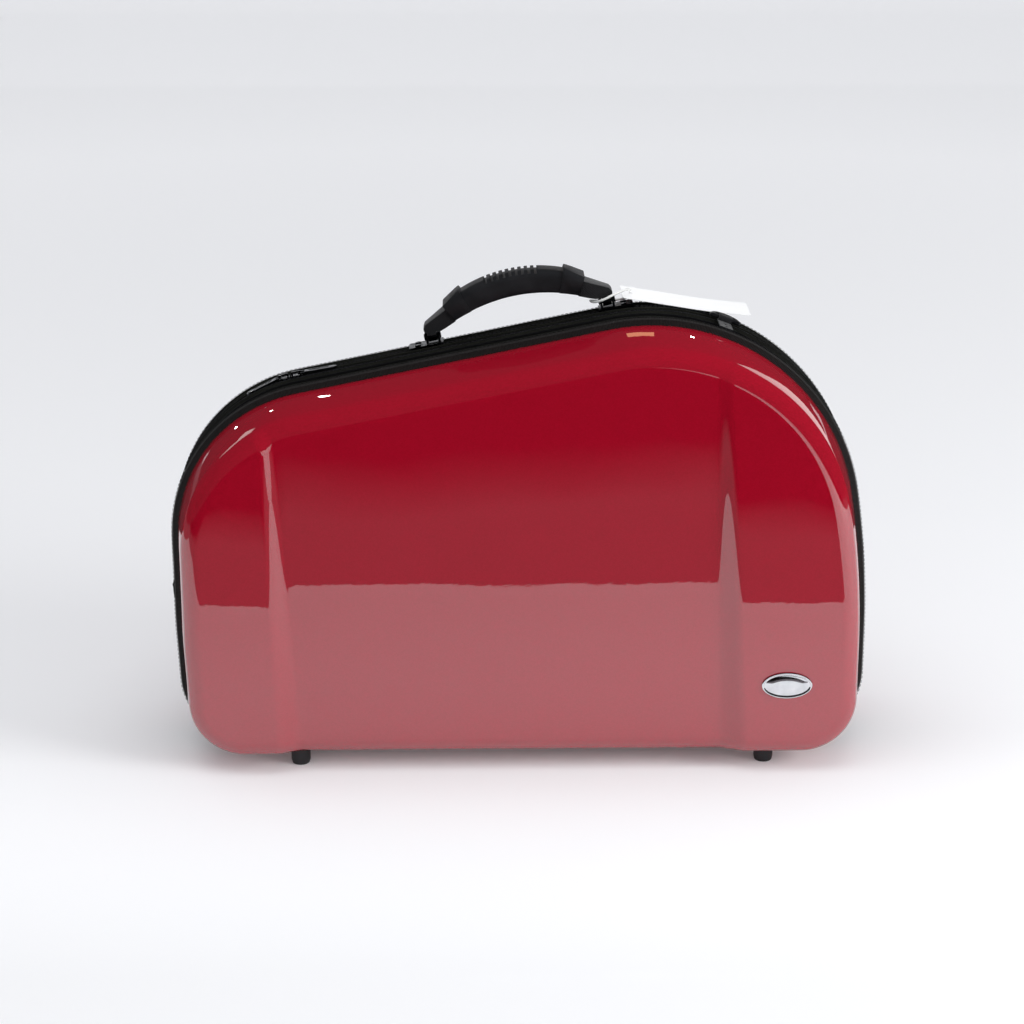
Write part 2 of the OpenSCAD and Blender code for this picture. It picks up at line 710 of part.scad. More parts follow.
module handle_pin(side) {
    x = handle_span / 2;
    out = eye_l / 2 + seat + ear_t;
    color(steel) at_handle() mirror([side, 0, 0]) translate([x, eye_h, 0]) rotate([0, 90, 0]) {
        translate([0, 0, -out - 0.2]) cylinder(d = pin_d, h = 2 * out + 0.4);
        for (s = [0, 1]) mirror([0, 0, s]) translate([0, 0, out + 0.1])
            cylinder(d = pin_d + 2, h = 1);
    }
}

// ---- Zip sliders and pulls ----

slider_w = zip_channel - 0.8;
plate_low = tape_out - tape_t + bead_h + 0.4 - band_proud;
plate_t = 1.5;
bail_h = 3.6;
bail_w = 3;
pull_pivot = plate_low + plate_t + 1.7;

// Lies with its nose to the right, in the zip's channel
module slider() {
    below = plate_low - 0.8 - bead_h - 1.2;
    color("#3a3a3e") difference() {
        union() {
            translate([-slider_l / 2, plate_low, -slider_w / 2]) cube([slider_l, plate_t, slider_w]);
            translate([-slider_l / 2, below, -slider_w / 2]) cube([slider_l, 1.2, slider_w]);
            translate([slider_l / 2 - 4, below, -zip_gap / 2 + 0.3])
                cube([4, plate_low - below + 1, zip_gap - 0.6]);
            translate([-slider_l / 2 + 0.6, plate_low + plate_t, -bail_w / 2])
                cube([slider_l - 1.2, bail_h, bail_w]);
        }
        // The bail is open under its bar
        translate([-slider_l / 2 + 1.8, plate_low + plate_t, -bail_w])
            cube([slider_l - 3.6, bail_h - 1.1, 2 * bail_w]);
    }
}

// Hangs in the bail by a thin bar, and lies to the left with its tip on the band
module pull(drop) {
    pull_w = 7.4;
    color("#8a8c92") rotate([0, 0, drop]) {
        translate([0, 0, -pull_w / 2]) cylinder(d = 1.4, h = pull_w, $fn = 24);
        for (d = [-1, 1]) translate([-5, -0.7, d * (pull_w / 2 - 0.6) - 0.6]) cube([5, 1.4, 1.2]);
        difference() {
            translate([-pull_l, -0.9, -pull_w / 2]) cube([pull_l - 5, 1.8, pull_w]);
            translate([-pull_l - 1, 0.7, -pull_w / 2 + 1.4]) cube([pull_l - 8, 1, pull_w - 2.8]);
        }
        translate([-pull_l, -0.9, 0]) rotate([-90, 0, 0]) cylinder(d = pull_w, h = 1.8);
    }
}

meet = 6;        // where the sliders meet, before the straight of the top begins
left_turn = -top_slope - (meet + slider_l / 2) / (shoulder_r + band_proud) * 180 / PI;
right_x = arc_start(SHOULDER).x - (slider_l / 2 - meet + 0.6) * cos(top_slope);
pull_hole = slider_l / 2 - 2.7;
left_drop = 11;
right_drop = 2;

module zip_slider_left() { upright() on_arc(SHOULDER, left_turn, -zip_offset) slider(); }
module zip_pull_left() {
    upright() on_arc(SHOULDER, left_turn, -zip_offset)
        translate([-pull_hole, pull_pivot, 0]) pull(left_drop);
}
module zip_slider_right() {
    upright() on_top(right_x, -zip_offset) mirror([1, 0, 0]) slider();
}
module zip_pull_right() {
    upright() on_top(right_x, -zip_offset) mirror([1, 0, 0])
        translate([-pull_hole, pull_pivot, 0]) pull(right_drop);
}

// ---- Strap rings, each in the rolled end of a riveted tab ----

tab_t = 1.2;
tab_l = 24;
barrel = ring_t / 2 + tab_t + 0.1;

// The ring lies towards -Z from its bar, which is along X
module ring() {
    bend = (ring_w - ring_t) / 2;
    color(rubber) {
        rotate([0, 90, 0]) translate([0, 0, -bend]) cylinder(d = ring_t, h = 2 * bend);
        rotate([90, 0, 0]) rotate([0, 0, 180]) rotate_extrude(angle = 180)
            translate([bend, 0]) circle(d = ring_t);
        for (s = [-1, 1]) translate([s * bend, 0, 0]) sphere(d = ring_t);
    }
}

module tab() {
    color("#1a1a1c") translate([-tab_w / 2, 0, 0]) difference() {
        union() {
            rotate([0, 90, 0]) cylinder(r = barrel, h = tab_w);
            translate([0, -barrel, 0]) cube([tab_w, tab_t, tab_l]);
        }
        translate([-1, 0, 0]) rotate([0, 90, 0]) cylinder(d = ring_t + 2 * fit + 0.1, h = tab_w + 2);
        for (z = [tab_l - 12, tab_l - 4]) translate([tab_w / 2, 0, z]) rotate([90, 0, 0])
            cylinder(d = 2.4, h = barrel + 1);
    }
}

strap_angle = 20.4;                       // round the crown, from straight up
strap_d = chan_front + barrel - 2;        // where the front ring's bar runs
side_ring_y = knee_left_h + 20;           // height of the ring on the low end
side_ring_d = (chan_rear - half + binding_w) / 2;

module at_right_strap() { upright() on_arc(CROWN, strap_angle, strap_d) translate([0, barrel + 0.1, 0]) children(); }
module at_left_strap() {
    upright() translate([-rim_w / 2 - band_proud - barrel - 0.1, side_ring_y, side_ring_d])
        rotate([0, 0, 90]) rotate([0, 90, 0]) children();
}

module strap_tab_right() { at_right_strap() tab(); }
module strap_ring_right() { at_right_strap() ring(); }
module strap_tab_left() { at_left_strap() tab(); }
module strap_ring_left() { at_left_strap() ring(); }

// ---- Badge, on the side panel at the bell end ----

badge_at = [rim_w / 2 - 70, 69.5];
badge_t = 1.4;

function oval(w, h) = [for (a = [0 : 7.5 : 352.5]) [w / 2 * cos(a), h / 2 * sin(a)]];

module badge() {
    face = half + shell_depth;
    color("#c9ccd1") upright() translate([badge_at.x, badge_at.y, face + 0.1]) difference() {
        linear_extrude(badge_t) polygon(oval(badge_w, badge_h));
        translate([0, 0, 0.7]) linear_extrude(2) polygon(oval(badge_w - 5, badge_h - 5));
    }
}

// ---- Swing tag on a moulded loop round the handle's foot ----

card_t = 0.8;
hole_in = 8;             // the hole's distance from the end of the card
hole_d = 4;
hole_beyond = 20;        // and beyond the handle's hinge, along X
card_back = 38;          // the card's middle, behind the middle of the band
loop_d = 2.2;

tag_foot = let (s = handle_span / 2, b = band_proud)
    [handle_x + s * cos(top_slope) - b * sin(top_slope),
     mid_h + handle_x * tan(top_slope) + s * sin(top_slope) + b * cos(top_slope)];
crown_out = crown_r + band_proud;
hole_back = tag_l / 2 - hole_in - 3;     // from the card's touching point to its hole
hole_need = tag_foot.x + hole_beyond - centre(CROWN).x;
tag_angle = asin(hole_need / norm([crown_out, hole_back])) + atan2(hole_back, crown_out);
tag_hole = centre(CROWN) + (crown_out + 0.6) * [sin(tag_angle), cos(tag_angle)]
    - hole_back * [cos(tag_angle), -sin(tag_angle)];

module swing_tag() {
    start = -hole_back - hole_in;
    color("#f2f2ee") upright() on_arc(CROWN, tag_angle, -card_back) difference() {
        translate([start, seat, -tag_w / 2]) cube([tag_l, card_t, tag_w]);
        translate([-hole_back, 5, 0]) rotate([90, 0, 0]) cylinder(d = hole_d, h = 10);
    }
}

// The loop's route, from the card's hole round the foot of the handle and back
function by_hole(x, y, d) = [tag_hole.x + x, tag_hole.y + y, -card_back + d];
function by_foot(x, y, d) = [tag_foot.x + x, tag_foot.y + y, -handle_back + d];
loop_route = [
    by_hole(0, 0, 0), by_hole(-3, -3.6, 1), by_foot(8, 3.6, -15.5), by_foot(-1, 3.2, -13.5),
    by_foot(-11, 4.5, -8), by_foot(-15.5, 6.5, 0), by_foot(-13, 7.5, 9.5), by_foot(-6, 10.5, 15.5),
    by_foot(5, 15.5, 14), by_foot(14, 16, 1), by_hole(-1.5, 4.4, 4)
];
LOOP = len(loop_route);
LOOP_SUB = 4;
LOOP_SIDES = 6;

function knot(i) = loop_route[(i + LOOP) % LOOP];
function curve(i, t) =
    let (a = knot(i - 1), b = knot(i), c = knot(i + 1), d = knot(i + 2))
    b + (c - a) * t / 2 + (2 * a - 5 * b + 4 * c - d) * t * t / 2
    + (3 * b - a - 3 * c + d) * t * t * t / 2;
LOOP_PATH = [for (i = [0 : LOOP - 1]) for (k = [0 : LOOP_SUB - 1]) curve(i, k / LOOP_SUB)];

module tag_loop() {
    n = len(LOOP_PATH);
    middle = by_foot(4, 9, 0);
    points = [for (i = [0 : n - 1])
        let (
            p = LOOP_PATH[i],
            along = unit(LOOP_PATH[(i + 1) % n] - LOOP_PATH[(i + n - 1) % n]),
            side = unit(cross(along, p - middle)),
            up = cross(side, along)
        )
        each [for (k = [0 : LOOP_SIDES - 1])
            let (a = 360 * k / LOOP_SIDES) p + loop_d / 2 * (side * cos(a) + up * sin(a))]];
    color("#e8e8e6") upright() polyhedron(
        points = points,
        faces = [for (i = [0 : n - 1]) for (k = [0 : LOOP_SIDES - 1])
            let (m = (i + 1) % n, l = (k + 1) % LOOP_SIDES)
            each quad(i * LOOP_SIDES + k, i * LOOP_SIDES + l, m * LOOP_SIDES + l, m * LOOP_SIDES + k)],
        convexity = 4
    );
}

// ---- The object ----

rear_shell();
front_shell();
rear_gusset();
front_gusset();
rear_binding();
front_binding();
rear_zip();
front_zip();
hinge_web();
rear_liner();
front_liner();
color(rubber) at_rear() foot(foot_left_x);  // rear_foot_left
color(rubber) at_rear() foot(foot_right_x);  // rear_foot_right
color(rubber) foot(foot_left_x);  // front_foot_left
color(rubber) foot(foot_right_x);  // front_foot_right
color(steel) at_rear() foot_screw(foot_left_x);  // rear_foot_screw_left
color(steel) at_rear() foot_screw(foot_right_x);  // rear_foot_screw_right
color(steel) foot_screw(foot_left_x);  // front_foot_screw_left
color(steel) foot_screw(foot_right_x);  // front_foot_screw_right
handle_grip();
handle_strap();
handle_eye(1);  // handle_eye_left
handle_eye(0);  // handle_eye_right
handle_bracket(1);  // handle_bracket_left
handle_bracket(0);  // handle_bracket_right
handle_pin(1);  // handle_pin_left
handle_pin(0);  // handle_pin_right
bracket_rivets(1);  // bracket_rivets_left
bracket_rivets(0);  // bracket_rivets_right
zip_slider_left();
zip_slider_right();
zip_pull_left();
zip_pull_right();
strap_tab_right();
strap_ring_right();
strap_tab_left();
strap_ring_left();
badge();
swing_tag();
tag_loop();
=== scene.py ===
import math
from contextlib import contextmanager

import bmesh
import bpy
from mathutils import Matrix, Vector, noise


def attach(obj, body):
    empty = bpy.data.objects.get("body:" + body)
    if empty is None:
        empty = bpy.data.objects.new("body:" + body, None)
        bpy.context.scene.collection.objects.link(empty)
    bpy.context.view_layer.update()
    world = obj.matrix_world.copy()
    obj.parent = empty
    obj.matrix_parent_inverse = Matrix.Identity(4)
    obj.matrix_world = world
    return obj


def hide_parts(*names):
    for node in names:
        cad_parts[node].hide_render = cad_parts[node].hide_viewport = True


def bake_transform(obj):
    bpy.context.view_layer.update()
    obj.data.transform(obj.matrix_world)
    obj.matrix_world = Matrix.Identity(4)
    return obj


bl_info = {
    "name": "Shell Case for a French Horn",
    "version": (1, 0, 0),
    "blender": (4, 5, 0),
    "location": "3D View > Sidebar > Horn Case",
    "description": "Builds a moulded french horn case round its packed frame",
    "category": "Object",
}

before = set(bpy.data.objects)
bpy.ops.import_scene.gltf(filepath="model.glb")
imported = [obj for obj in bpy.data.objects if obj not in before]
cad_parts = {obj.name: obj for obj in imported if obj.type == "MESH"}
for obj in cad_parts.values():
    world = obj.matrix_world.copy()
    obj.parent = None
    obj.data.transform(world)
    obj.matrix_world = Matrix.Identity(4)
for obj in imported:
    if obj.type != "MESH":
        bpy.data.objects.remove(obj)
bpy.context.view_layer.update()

# ---- The case's own measures, in millimetres and degrees, as its frame has them ----

MM = 0.001
RIM_W = 600             # width over the rims
MID_H = 357             # height of the rims in the middle
TOP_SLOPE = 11.6
RIM_Z = 14              # height of the rims' bottom over the floor
KNEE_LEFT_H = 107       # height over that of the bend in each side
KNEE_RIGHT_H = 158
LEAN_LEFT = 2.6         # the left side leans in below its bend
LEAN_RIGHT = 9.4        # and the right one above
SHELL_DEPTH = 62
SHELL_WALL = 3
SHELL_DRAFT = 8
SHELL_FILLET = 17       # radius between the side and the face
PANEL_DROP = 9          # how far the middle panel is lowered at its foot
HALF = 33               # half the depth of the soft band
BAND_PROUD = 6          # how far the band stands out of the rims
BAND_INSIDE = 2.5       # and reaches inside them
BINDING_W = 6
BINDING_T = 0.5         # how far the binding stands over the band's cloth
BINDING_LAP = 0.1       # and reaches past the band's edge
ZIP_AT = -5             # middle of the zip, behind the case's middle
CHAN_FRONT = 0          # the two sides of the zip's channel
CHAN_REAR = -10
TAPE_OUT = 3.4          # outer face of the zip tape, over the rims
TAPE_T = 1.2
HANDLE_X = 2            # the handle's middle, right of the case's
HANDLE_BACK = 20        # and behind it
HANDLE_SPAN = 155.4     # between the handle's two feet
HALVES = (("front", 1, "lid"), ("rear", -1, "root"))    # name, side of the middle, body


def cosd(a):
    return math.cos(math.radians(a))


def sind(a):
    return math.sin(math.radians(a))


def tand(a):
    return math.tan(math.radians(a))


def heading(v):
    return math.degrees(math.atan2(v.y, v.x))


# ---- Outline of the rims: straight edges between rounded corners ----

CROWN_X = (RIM_W / 2 - (MID_H - KNEE_RIGHT_H) * tand(LEAN_RIGHT)) / (
    1 + tand(TOP_SLOPE) * tand(LEAN_RIGHT)
)
CORNERS = [
    (Vector((-RIM_W / 2 + KNEE_LEFT_H * tand(LEAN_LEFT), 0)), 55),
    (Vector((RIM_W / 2, 0)), 55),
    (Vector((RIM_W / 2, KNEE_RIGHT_H)), 800),
    (Vector((CROWN_X, MID_H + CROWN_X * tand(TOP_SLOPE))), 180),
    (Vector((-RIM_W / 2, MID_H - RIM_W / 2 * tand(TOP_SLOPE))), 132),
    (Vector((-RIM_W / 2, KNEE_LEFT_H)), 400),
]
BOTTOM_LEFT, BOTTOM_RIGHT, KNEE_RIGHT, CROWN, SHOULDER, KNEE_LEFT = range(6)


class Corner:
    """One rounded corner of the outline, counterclockwise"""

    def __init__(self, i):
        before, spot, after = (CORNERS[(i + k) % 6][0] for k in (-1, 0, 1))
        self.radius = CORNERS[i][1]
        self.dir_in = (spot - before).normalized()
        self.dir_out = (after - spot).normalized()
        self.turn = (heading(self.dir_out) - heading(self.dir_in)) % 360
        reach = self.radius * tand(self.turn / 2)
        self.start = spot - self.dir_in * reach
        self.end = spot + self.dir_out * reach
        self.centre = self.start + Vector((-self.dir_in.y, self.dir_in.x)) * self.radius
        self.from_angle = heading(self.dir_in) - 90

    def at(self, angle):
        """(point, outward normal) at this heading from the corner's centre"""
        n = Vector((cosd(angle), sind(angle)))
        return self.centre + n * self.radius, n

    def at_x(self, x, up):
        """(point, outward normal) at this x, above or below the centre"""
        s = max(-1, min(1, (x - self.centre.x) / self.radius))
        n = Vector((s, up * math.sqrt(1 - s * s)))
        return self.centre + n * self.radius, n

    def at_y(self, y, side):
        """(point, outward normal) at this y, right or left of the centre"""
        s = max(-1, min(1, (y - self.centre.y) / self.radius))
        n = Vector((side * math.sqrt(1 - s * s), s))
        return self.centre + n * self.radius, n


CORNER = [Corner(i) for i in range(6)]


def on_edge(i, p):
    d = CORNER[i].dir_out
    return p, Vector((d.y, -d.x))


def upper(x):
    if x < CORNER[SHOULDER].start.x:
        return CORNER[SHOULDER].at_x(x, 1)
    if x > CORNER[CROWN].end.x:
        return CORNER[CROWN].at_x(x, 1)
    return on_edge(CROWN, Vector((x, MID_H + x * tand(TOP_SLOPE))))


def lower(x):
    if x < CORNER[BOTTOM_LEFT].end.x:
        return CORNER[BOTTOM_LEFT].at_x(x, -1)
    if x > CORNER[BOTTOM_RIGHT].start.x:
        return CORNER[BOTTOM_RIGHT].at_x(x, -1)
    return on_edge(BOTTOM_LEFT, Vector((x, 0)))


def edge_at(i, y):
    c = CORNER[i]
    return on_edge(i, c.end + c.dir_out * ((y - c.end.y) / c.dir_out.y))


def right_side(y):
    if y < CORNER[BOTTOM_RIGHT].end.y:
        return CORNER[BOTTOM_RIGHT].at_y(y, 1)
    if y < CORNER[KNEE_RIGHT].start.y:
        return edge_at(BOTTOM_RIGHT, y)
    if y < CORNER[KNEE_RIGHT].end.y:
        return CORNER[KNEE_RIGHT].at_y(y, 1)
    if y < CORNER[CROWN].start.y:
        return edge_at(KNEE_RIGHT, y)
    return CORNER[CROWN].at_y(y, 1)


def left_side(y):
    if y < CORNER[BOTTOM_LEFT].start.y:
        return CORNER[BOTTOM_LEFT].at_y(y, -1)
    if y < CORNER[KNEE_LEFT].end.y:
        return edge_at(KNEE_LEFT, y)
    if y < CORNER[KNEE_LEFT].start.y:
        return CORNER[KNEE_LEFT].at_y(y, -1)
    if y < CORNER[SHOULDER].end.y:
        return edge_at(SHOULDER, y)
    return CORNER[SHOULDER].at_y(y, -1)


def stand(x, y, depth):
    """From the case on its back (depth towards the front) to the standing case, in metres"""
    return Vector((x * MM, -depth * MM, (y + RIM_Z) * MM))


def outline(step, whole=True):
    """(point, normal, length so far) along the rims, counterclockwise from the lower right
    corner, with a point about every step millimetres. Not whole leaves out the hinge side."""
    found = []
    order = [BOTTOM_RIGHT, KNEE_RIGHT, CROWN, SHOULDER, KNEE_LEFT, BOTTOM_LEFT]
    for k, i in enumerate(order):
        c = CORNER[i]
        count = max(2, round(math.radians(c.turn) * c.radius / step))
        for n in range(count + 1):
            found.append(c.at(c.from_angle + c.turn * n / count))
        follow = CORNER[order[(k + 1) % 6]]
        if k == 5 and not whole:
            break
        straight = (follow.start - c.end).length
        count = max(1, round(straight / step))
        edge = Vector((c.dir_out.y, -c.dir_out.x))
        for n in range(1, count):
            found.append((c.end.lerp(follow.start, n / count), edge))
    path = []
    s = 0
    for k, (p, n) in enumerate(found):
        if k:
            s += (p - found[k - 1][0]).length
        path.append((p, n, s))
    return path


# ---- Making pieces ----


def deselect():
    if bpy.context.object and bpy.context.object.mode != "OBJECT":
        bpy.ops.object.mode_set(mode="OBJECT")
    bpy.ops.object.select_all(action="DESELECT")


def make_active(o):
    deselect()
    o.select_set(True)
    bpy.context.view_layer.objects.active = o


def named(o, name):
    o.name = name
    o.data.name = name
    return o


def in_scene(name, data):
    """A new object in the scene, for a mesh, curve, light or camera"""
    o = bpy.data.objects.new(name, data)
    bpy.context.scene.collection.objects.link(o)
    return o


def smooth_by_angle(o, degrees=35):
    make_active(o)
    bpy.ops.object.shade_smooth_by_angle(angle=math.radians(degrees))


def modified(o, kind, **settings):
    """Adds a modifier and applies it"""
    m = o.modifiers.new(kind.title(), kind)
    for key, value in settings.items():
        setattr(m, key, value)
    make_active(o)
    bpy.ops.object.modifier_apply(modifier=m.name)


def to_origin(o):
    """Puts a piece's place, turn and size into its mesh"""
    make_active(o)
    bpy.ops.object.transform_apply(location=True, rotation=True, scale=True)


@contextmanager
def editing(o, action="SELECT"):
    """Edit mode on a piece, with all of it selected or none"""
    make_active(o)
    bpy.ops.object.mode_set(mode="EDIT")
    bpy.ops.mesh.select_all(action=action)
    yield
    bpy.ops.object.mode_set(mode="OBJECT")


def face_outwards(o):
    with editing(o):
        bpy.ops.mesh.remove_doubles(threshold=1e-6)
        bpy.ops.mesh.normals_make_consistent(inside=False)


def fill_openings():
    bpy.ops.mesh.select_all(action="DESELECT")
    bpy.ops.mesh.select_non_manifold()
    bpy.ops.mesh.fill_holes(sides=0)


def shaped_grid(name, columns, rows, place, lengths=None):
    """A grid primitive whose points are moved to place(column, row). Its UV map is given in
    metres by lengths(column, row) where a pattern follows the surface."""
    deselect()
    bpy.ops.mesh.primitive_grid_add(
        x_subdivisions=columns, y_subdivisions=rows, size=2, location=(0, 0, 0)
    )
    o = named(bpy.context.object, name)
    mesh = o.data
    index = [
        (round((v.co.x + 1) / 2 * columns), round((v.co.y + 1) / 2 * rows))
        for v in mesh.vertices
    ]
    for v, (i, j) in zip(mesh.vertices, index):
        v.co = place(i, j)
    if lengths:
        for loop, uv in zip(mesh.loops, mesh.uv_layers.active.data):
            uv.uv = lengths(*index[loop.vertex_index])
    return o


def rounded_profile(points, radii, steps=4):
    """A closed profile with each corner rounded to its radius"""
    found = []
    n = len(points)
    for k in range(n):
        a, p, b = (Vector(points[(k + m) % n]) for m in (-1, 0, 1))
        r = radii[k]
        if r <= 0:
            found.append(p)
            continue
        to_a = (a - p).normalized()
        to_b = (b - p).normalized()
        angle = to_a.angle(to_b)
        cut = min(r / math.tan(angle / 2), (a - p).length * 0.49, (b - p).length * 0.49)
        r = cut * math.tan(angle / 2)
        centre = p + (to_a + to_b).normalized() * (r / math.sin(angle / 2))
        start = p + to_a * cut - centre
        end = p + to_b * cut - centre
        for m in range(steps + 1):
            found.append(centre + start.slerp(end, m / steps))
    return found


def swept(name, profile, path, side=1, closed=True, wave=None):
    """Sweeps a closed profile of (outwards, depth) points along the outline. Its UV map
    runs along the outline and round the profile, in metres."""
    profile = [Vector(p) for p in profile] + [Vector(profile[0])]
    around = [0]
    for a, b in zip(profile, profile[1:]):
        around.append(around[-1] + (b - a).length)
    path = list(path)
    if closed:
        p, n, s = path[0]
        path.append((p, n, path[-1][2] + (p - path[-1][0]).length))

    def place(i, j):
        p, n, s = path[i]
        q = profile[j]
        out = q.x + (wave(s, q.x, q.y) if wave else 0)
        return stand(p.x + n.x * out, p.y + n.y * out, q.y * side)

    o = shaped_grid(
        name,
        len(path) - 1,
        len(profile) - 1,
        place,
        lambda i, j: (path[i][2] * MM, around[j] * MM),
    )
    with editing(o):
        bpy.ops.mesh.remove_doubles(threshold=1e-6)
        if not closed:
            fill_openings()
            bpy.ops.mesh.select_all(action="SELECT")
        bpy.ops.mesh.normals_make_consistent(inside=False)
    smooth_by_angle(o)
    return o


def softened(name, node, bevel, segments=2):
    """A copy of a frame node with its edges rounded, which stands for it"""
    o = named(in_scene(name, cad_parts[node].data.copy()), name)
    with editing(o):
        bpy.ops.mesh.remove_doubles(threshold=2e-6)
        bpy.ops.mesh.dissolve_limited(angle_limit=math.radians(0.6))
    if bevel:
        modified(
            o, "BEVEL", width=bevel * MM, segments=segments, limit_method="ANGLE",
            angle_limit=math.radians(35), miter_outer="MITER_ARC",
        )
    smooth_by_angle(o, 30)
    return o


def copies(name, template, places):
    """One mesh of many copies of a template's (points, faces), each at a matrix"""
    points, faces = template
    all_points = []
    all_faces = []
    for m in places:
        base = len(all_points)
        all_points.extend(m @ p for p in points)
        all_faces.extend([base + v for v in f] for f in faces)
    mesh = bpy.data.meshes.new(name)
    mesh.from_pydata(all_points, [], all_faces)
    o = in_scene(name, mesh)
    smooth_by_angle(o, 40)
    return o


def chamfered_template(o, width):
    """Chamfers a modelled piece, takes it out of the scene and keeps its points and faces"""
    to_origin(o)
    with editing(o):
        bpy.ops.mesh.bevel(offset=width, segments=1)
    points = [v.co.copy() for v in o.data.vertices]
    faces = [list(p.vertices) for p in o.data.polygons]
    bpy.data.objects.remove(o, do_unlink=True)
    return points, faces


def coat(o, *materials):
    o.data.materials.clear()
    for material in materials:
        o.data.materials.append(material)


def finish_piece(o, body, material, nodes=()):
    coat(o, material)
    if nodes:
        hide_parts(*nodes)
    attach(o, body)
    return o


def from_node(name, node, bevel, body, material, segments=2):
    """A frame node with its edges rounded and a finish of its own"""
    return finish_piece(softened(name, node, bevel, segments), body, material, [node])


# ---- Materials ----
# A pattern's scale is how many of its grains, threads or patches go into a metre


def linear(colour):
    """sRGB hex to linear RGBA"""
    parts = [int(colour[k:k + 2], 16) / 255 for k in (1, 3, 5)]
    return tuple(c / 12.92 if c <= 0.04045 else ((c + 0.055) / 1.055) ** 2.4 for c in parts) + (1,)


class Finish:
    """A material being made, with its node tree and its shader"""

    def __init__(self, name):
        self.material = bpy.data.materials.new(name)
        self.material.use_nodes = True
        self.tree = self.material.node_tree
        self.shader = self.tree.nodes["Principled BSDF"]

    def fill(self, node, inputs):
        """Gives a node's inputs their values, or links from a node or a (node, output)"""
        for key, value in inputs.items():
            if isinstance(value, bpy.types.Node):
                value = (value, 0)
            if isinstance(value, tuple) and isinstance(value[0], bpy.types.Node):
                self.tree.links.new(value[0].outputs[value[1]], node.inputs[key])
            else:
                node.inputs[key].default_value = value

    def add(self, kind, inputs=None, stops=None, **settings):
        """A node with its settings, its inputs, and a ramp's two (place, hex) stops"""
        node = self.tree.nodes.new("ShaderNode" + kind)
        for key, value in settings.items():
            setattr(node, key, value)
        self.fill(node, inputs or {})
        if stops:
            for e, (place, colour) in zip(node.color_ramp.elements, stops):
                e.position = place
                e.color = linear(colour)
        return node

    def summed(self, a, a_share, b, b_share=1.0):
        """Two patterns added up, each times its share"""
        b = self.add("Math", {0: b, 1: b_share}, operation="MULTIPLY")
        return self.add("Math", {0: a, 1: a_share, 2: b}, operation="MULTIPLY_ADD")

    def wave(self, place, turn):
        """The sine of a place times turn"""
        angle = self.add("Math", {0: place, 1: turn}, operation="MULTIPLY")
        return self.add("Math", {0: angle}, operation="SINE")

    def done(self, tone, stops, height, depth, rough, **sockets):
        """The material, with colours from a ramp, its bump, and its roughness, which is one
        number or a (pattern, least, most). Other sockets are named with _ for a space"""
        if isinstance(rough, tuple):
            rough = self.add("MapRange", dict(zip(("Value", "To Min", "To Max"), rough)))
        self.fill(self.shader, {
            "Base Color": self.add("ValToRGB", {"Fac": tone}, stops),
            "Normal": self.add("Bump", {"Height": height, "Distance": depth}),
            "Roughness": rough,
        })
        self.fill(self.shader, {key.replace("_", " "): sockets[key] for key in sockets})
        return self.material


def lacquered_fibreglass(look):
    # Two-pack lacquer over fine flake on moulded fibreglass: deep colour under a clear,
    # wet-looking coat whose slight orange peel bends the reflections. The flakes are drawn
    # several times as coarse as real ones, so that they show
    f = Finish("lacquered fibreglass")
    place = f.add("TexCoord"), "Object"
    flake = f.add("TexVoronoi", {"Vector": place, "Scale": 1 / look.flake})
    grain = f.add("SeparateColor", {"Color": (flake, "Color")})
    drift = f.add("TexNoise", {"Vector": place, "Scale": 7, "Detail": 1})
    peel = f.add("TexNoise", {"Vector": place, "Scale": 160})
    swell = f.add("TexNoise", {"Vector": place, "Scale": 14, "Detail": 1})
    height = f.summed(swell, 14, peel)
    depth = 0.000012
    return f.done(
        f.summed(grain, 0.7, drift, 0.3), [(0.1, look.lacquer_dark), (0.9, look.lacquer)],
        height, depth, ((grain, 1), 0.16, 0.3),
        Coat_Normal=f.add("Bump", {"Height": height, "Distance": depth}),
        Coat_Weight=1.0, Coat_Roughness=0.012, Coat_IOR=2.1, IOR=1.5, Specular_IOR_Level=0.0,
    )


def bare_fibreglass():
    # Chopped strand mat in polyester resin: the rough, unpainted inside of a moulding
    f = Finish("unpainted fibreglass")
    strands = f.add("TexVoronoi", {"Vector": (f.add("TexCoord"), "Object"), "Scale": 180})
    return f.done(strands, [(0, "#3b3936"), (1, "#5a5650")], strands, 0.0003, 0.55)


def woven_nylon(look):
    # 600 denier nylon in a plain weave: matte black with a soft sheen at grazing angles.
    # Its threads are drawn about twice as coarse as real ones, so that they show
    f = Finish("woven nylon")
    split = f.add("SeparateXYZ", {"Vector": f.add("UVMap")})
    warp, weft = (f.wave((split, axis), math.pi / look.thread) for axis in (0, 1))
    over = f.add("Math", {0: warp, 1: weft}, operation="MULTIPLY")
    weave = f.add("Math", {0: over}, operation="ABSOLUTE")
    place = f.add("TexCoord"), "Object"
    slub = f.add("TexNoise", {"Vector": place, "Scale": 900, "Detail": 3})
    dust = f.add("TexNoise", {"Vector": place, "Scale": 22, "Detail": 3})
    return f.done(
        f.summed(weave, 0.45, dust, 0.6), [(0.1, look.fabric_dark), (0.9, look.fabric_light)],
        f.summed(slub, 0.35, weave), look.thread * 0.22, (slub, 0.5, 0.72),
        Specular_IOR_Level=0.25, Sheen_Weight=0.1, Sheen_Roughness=0.35,
    )


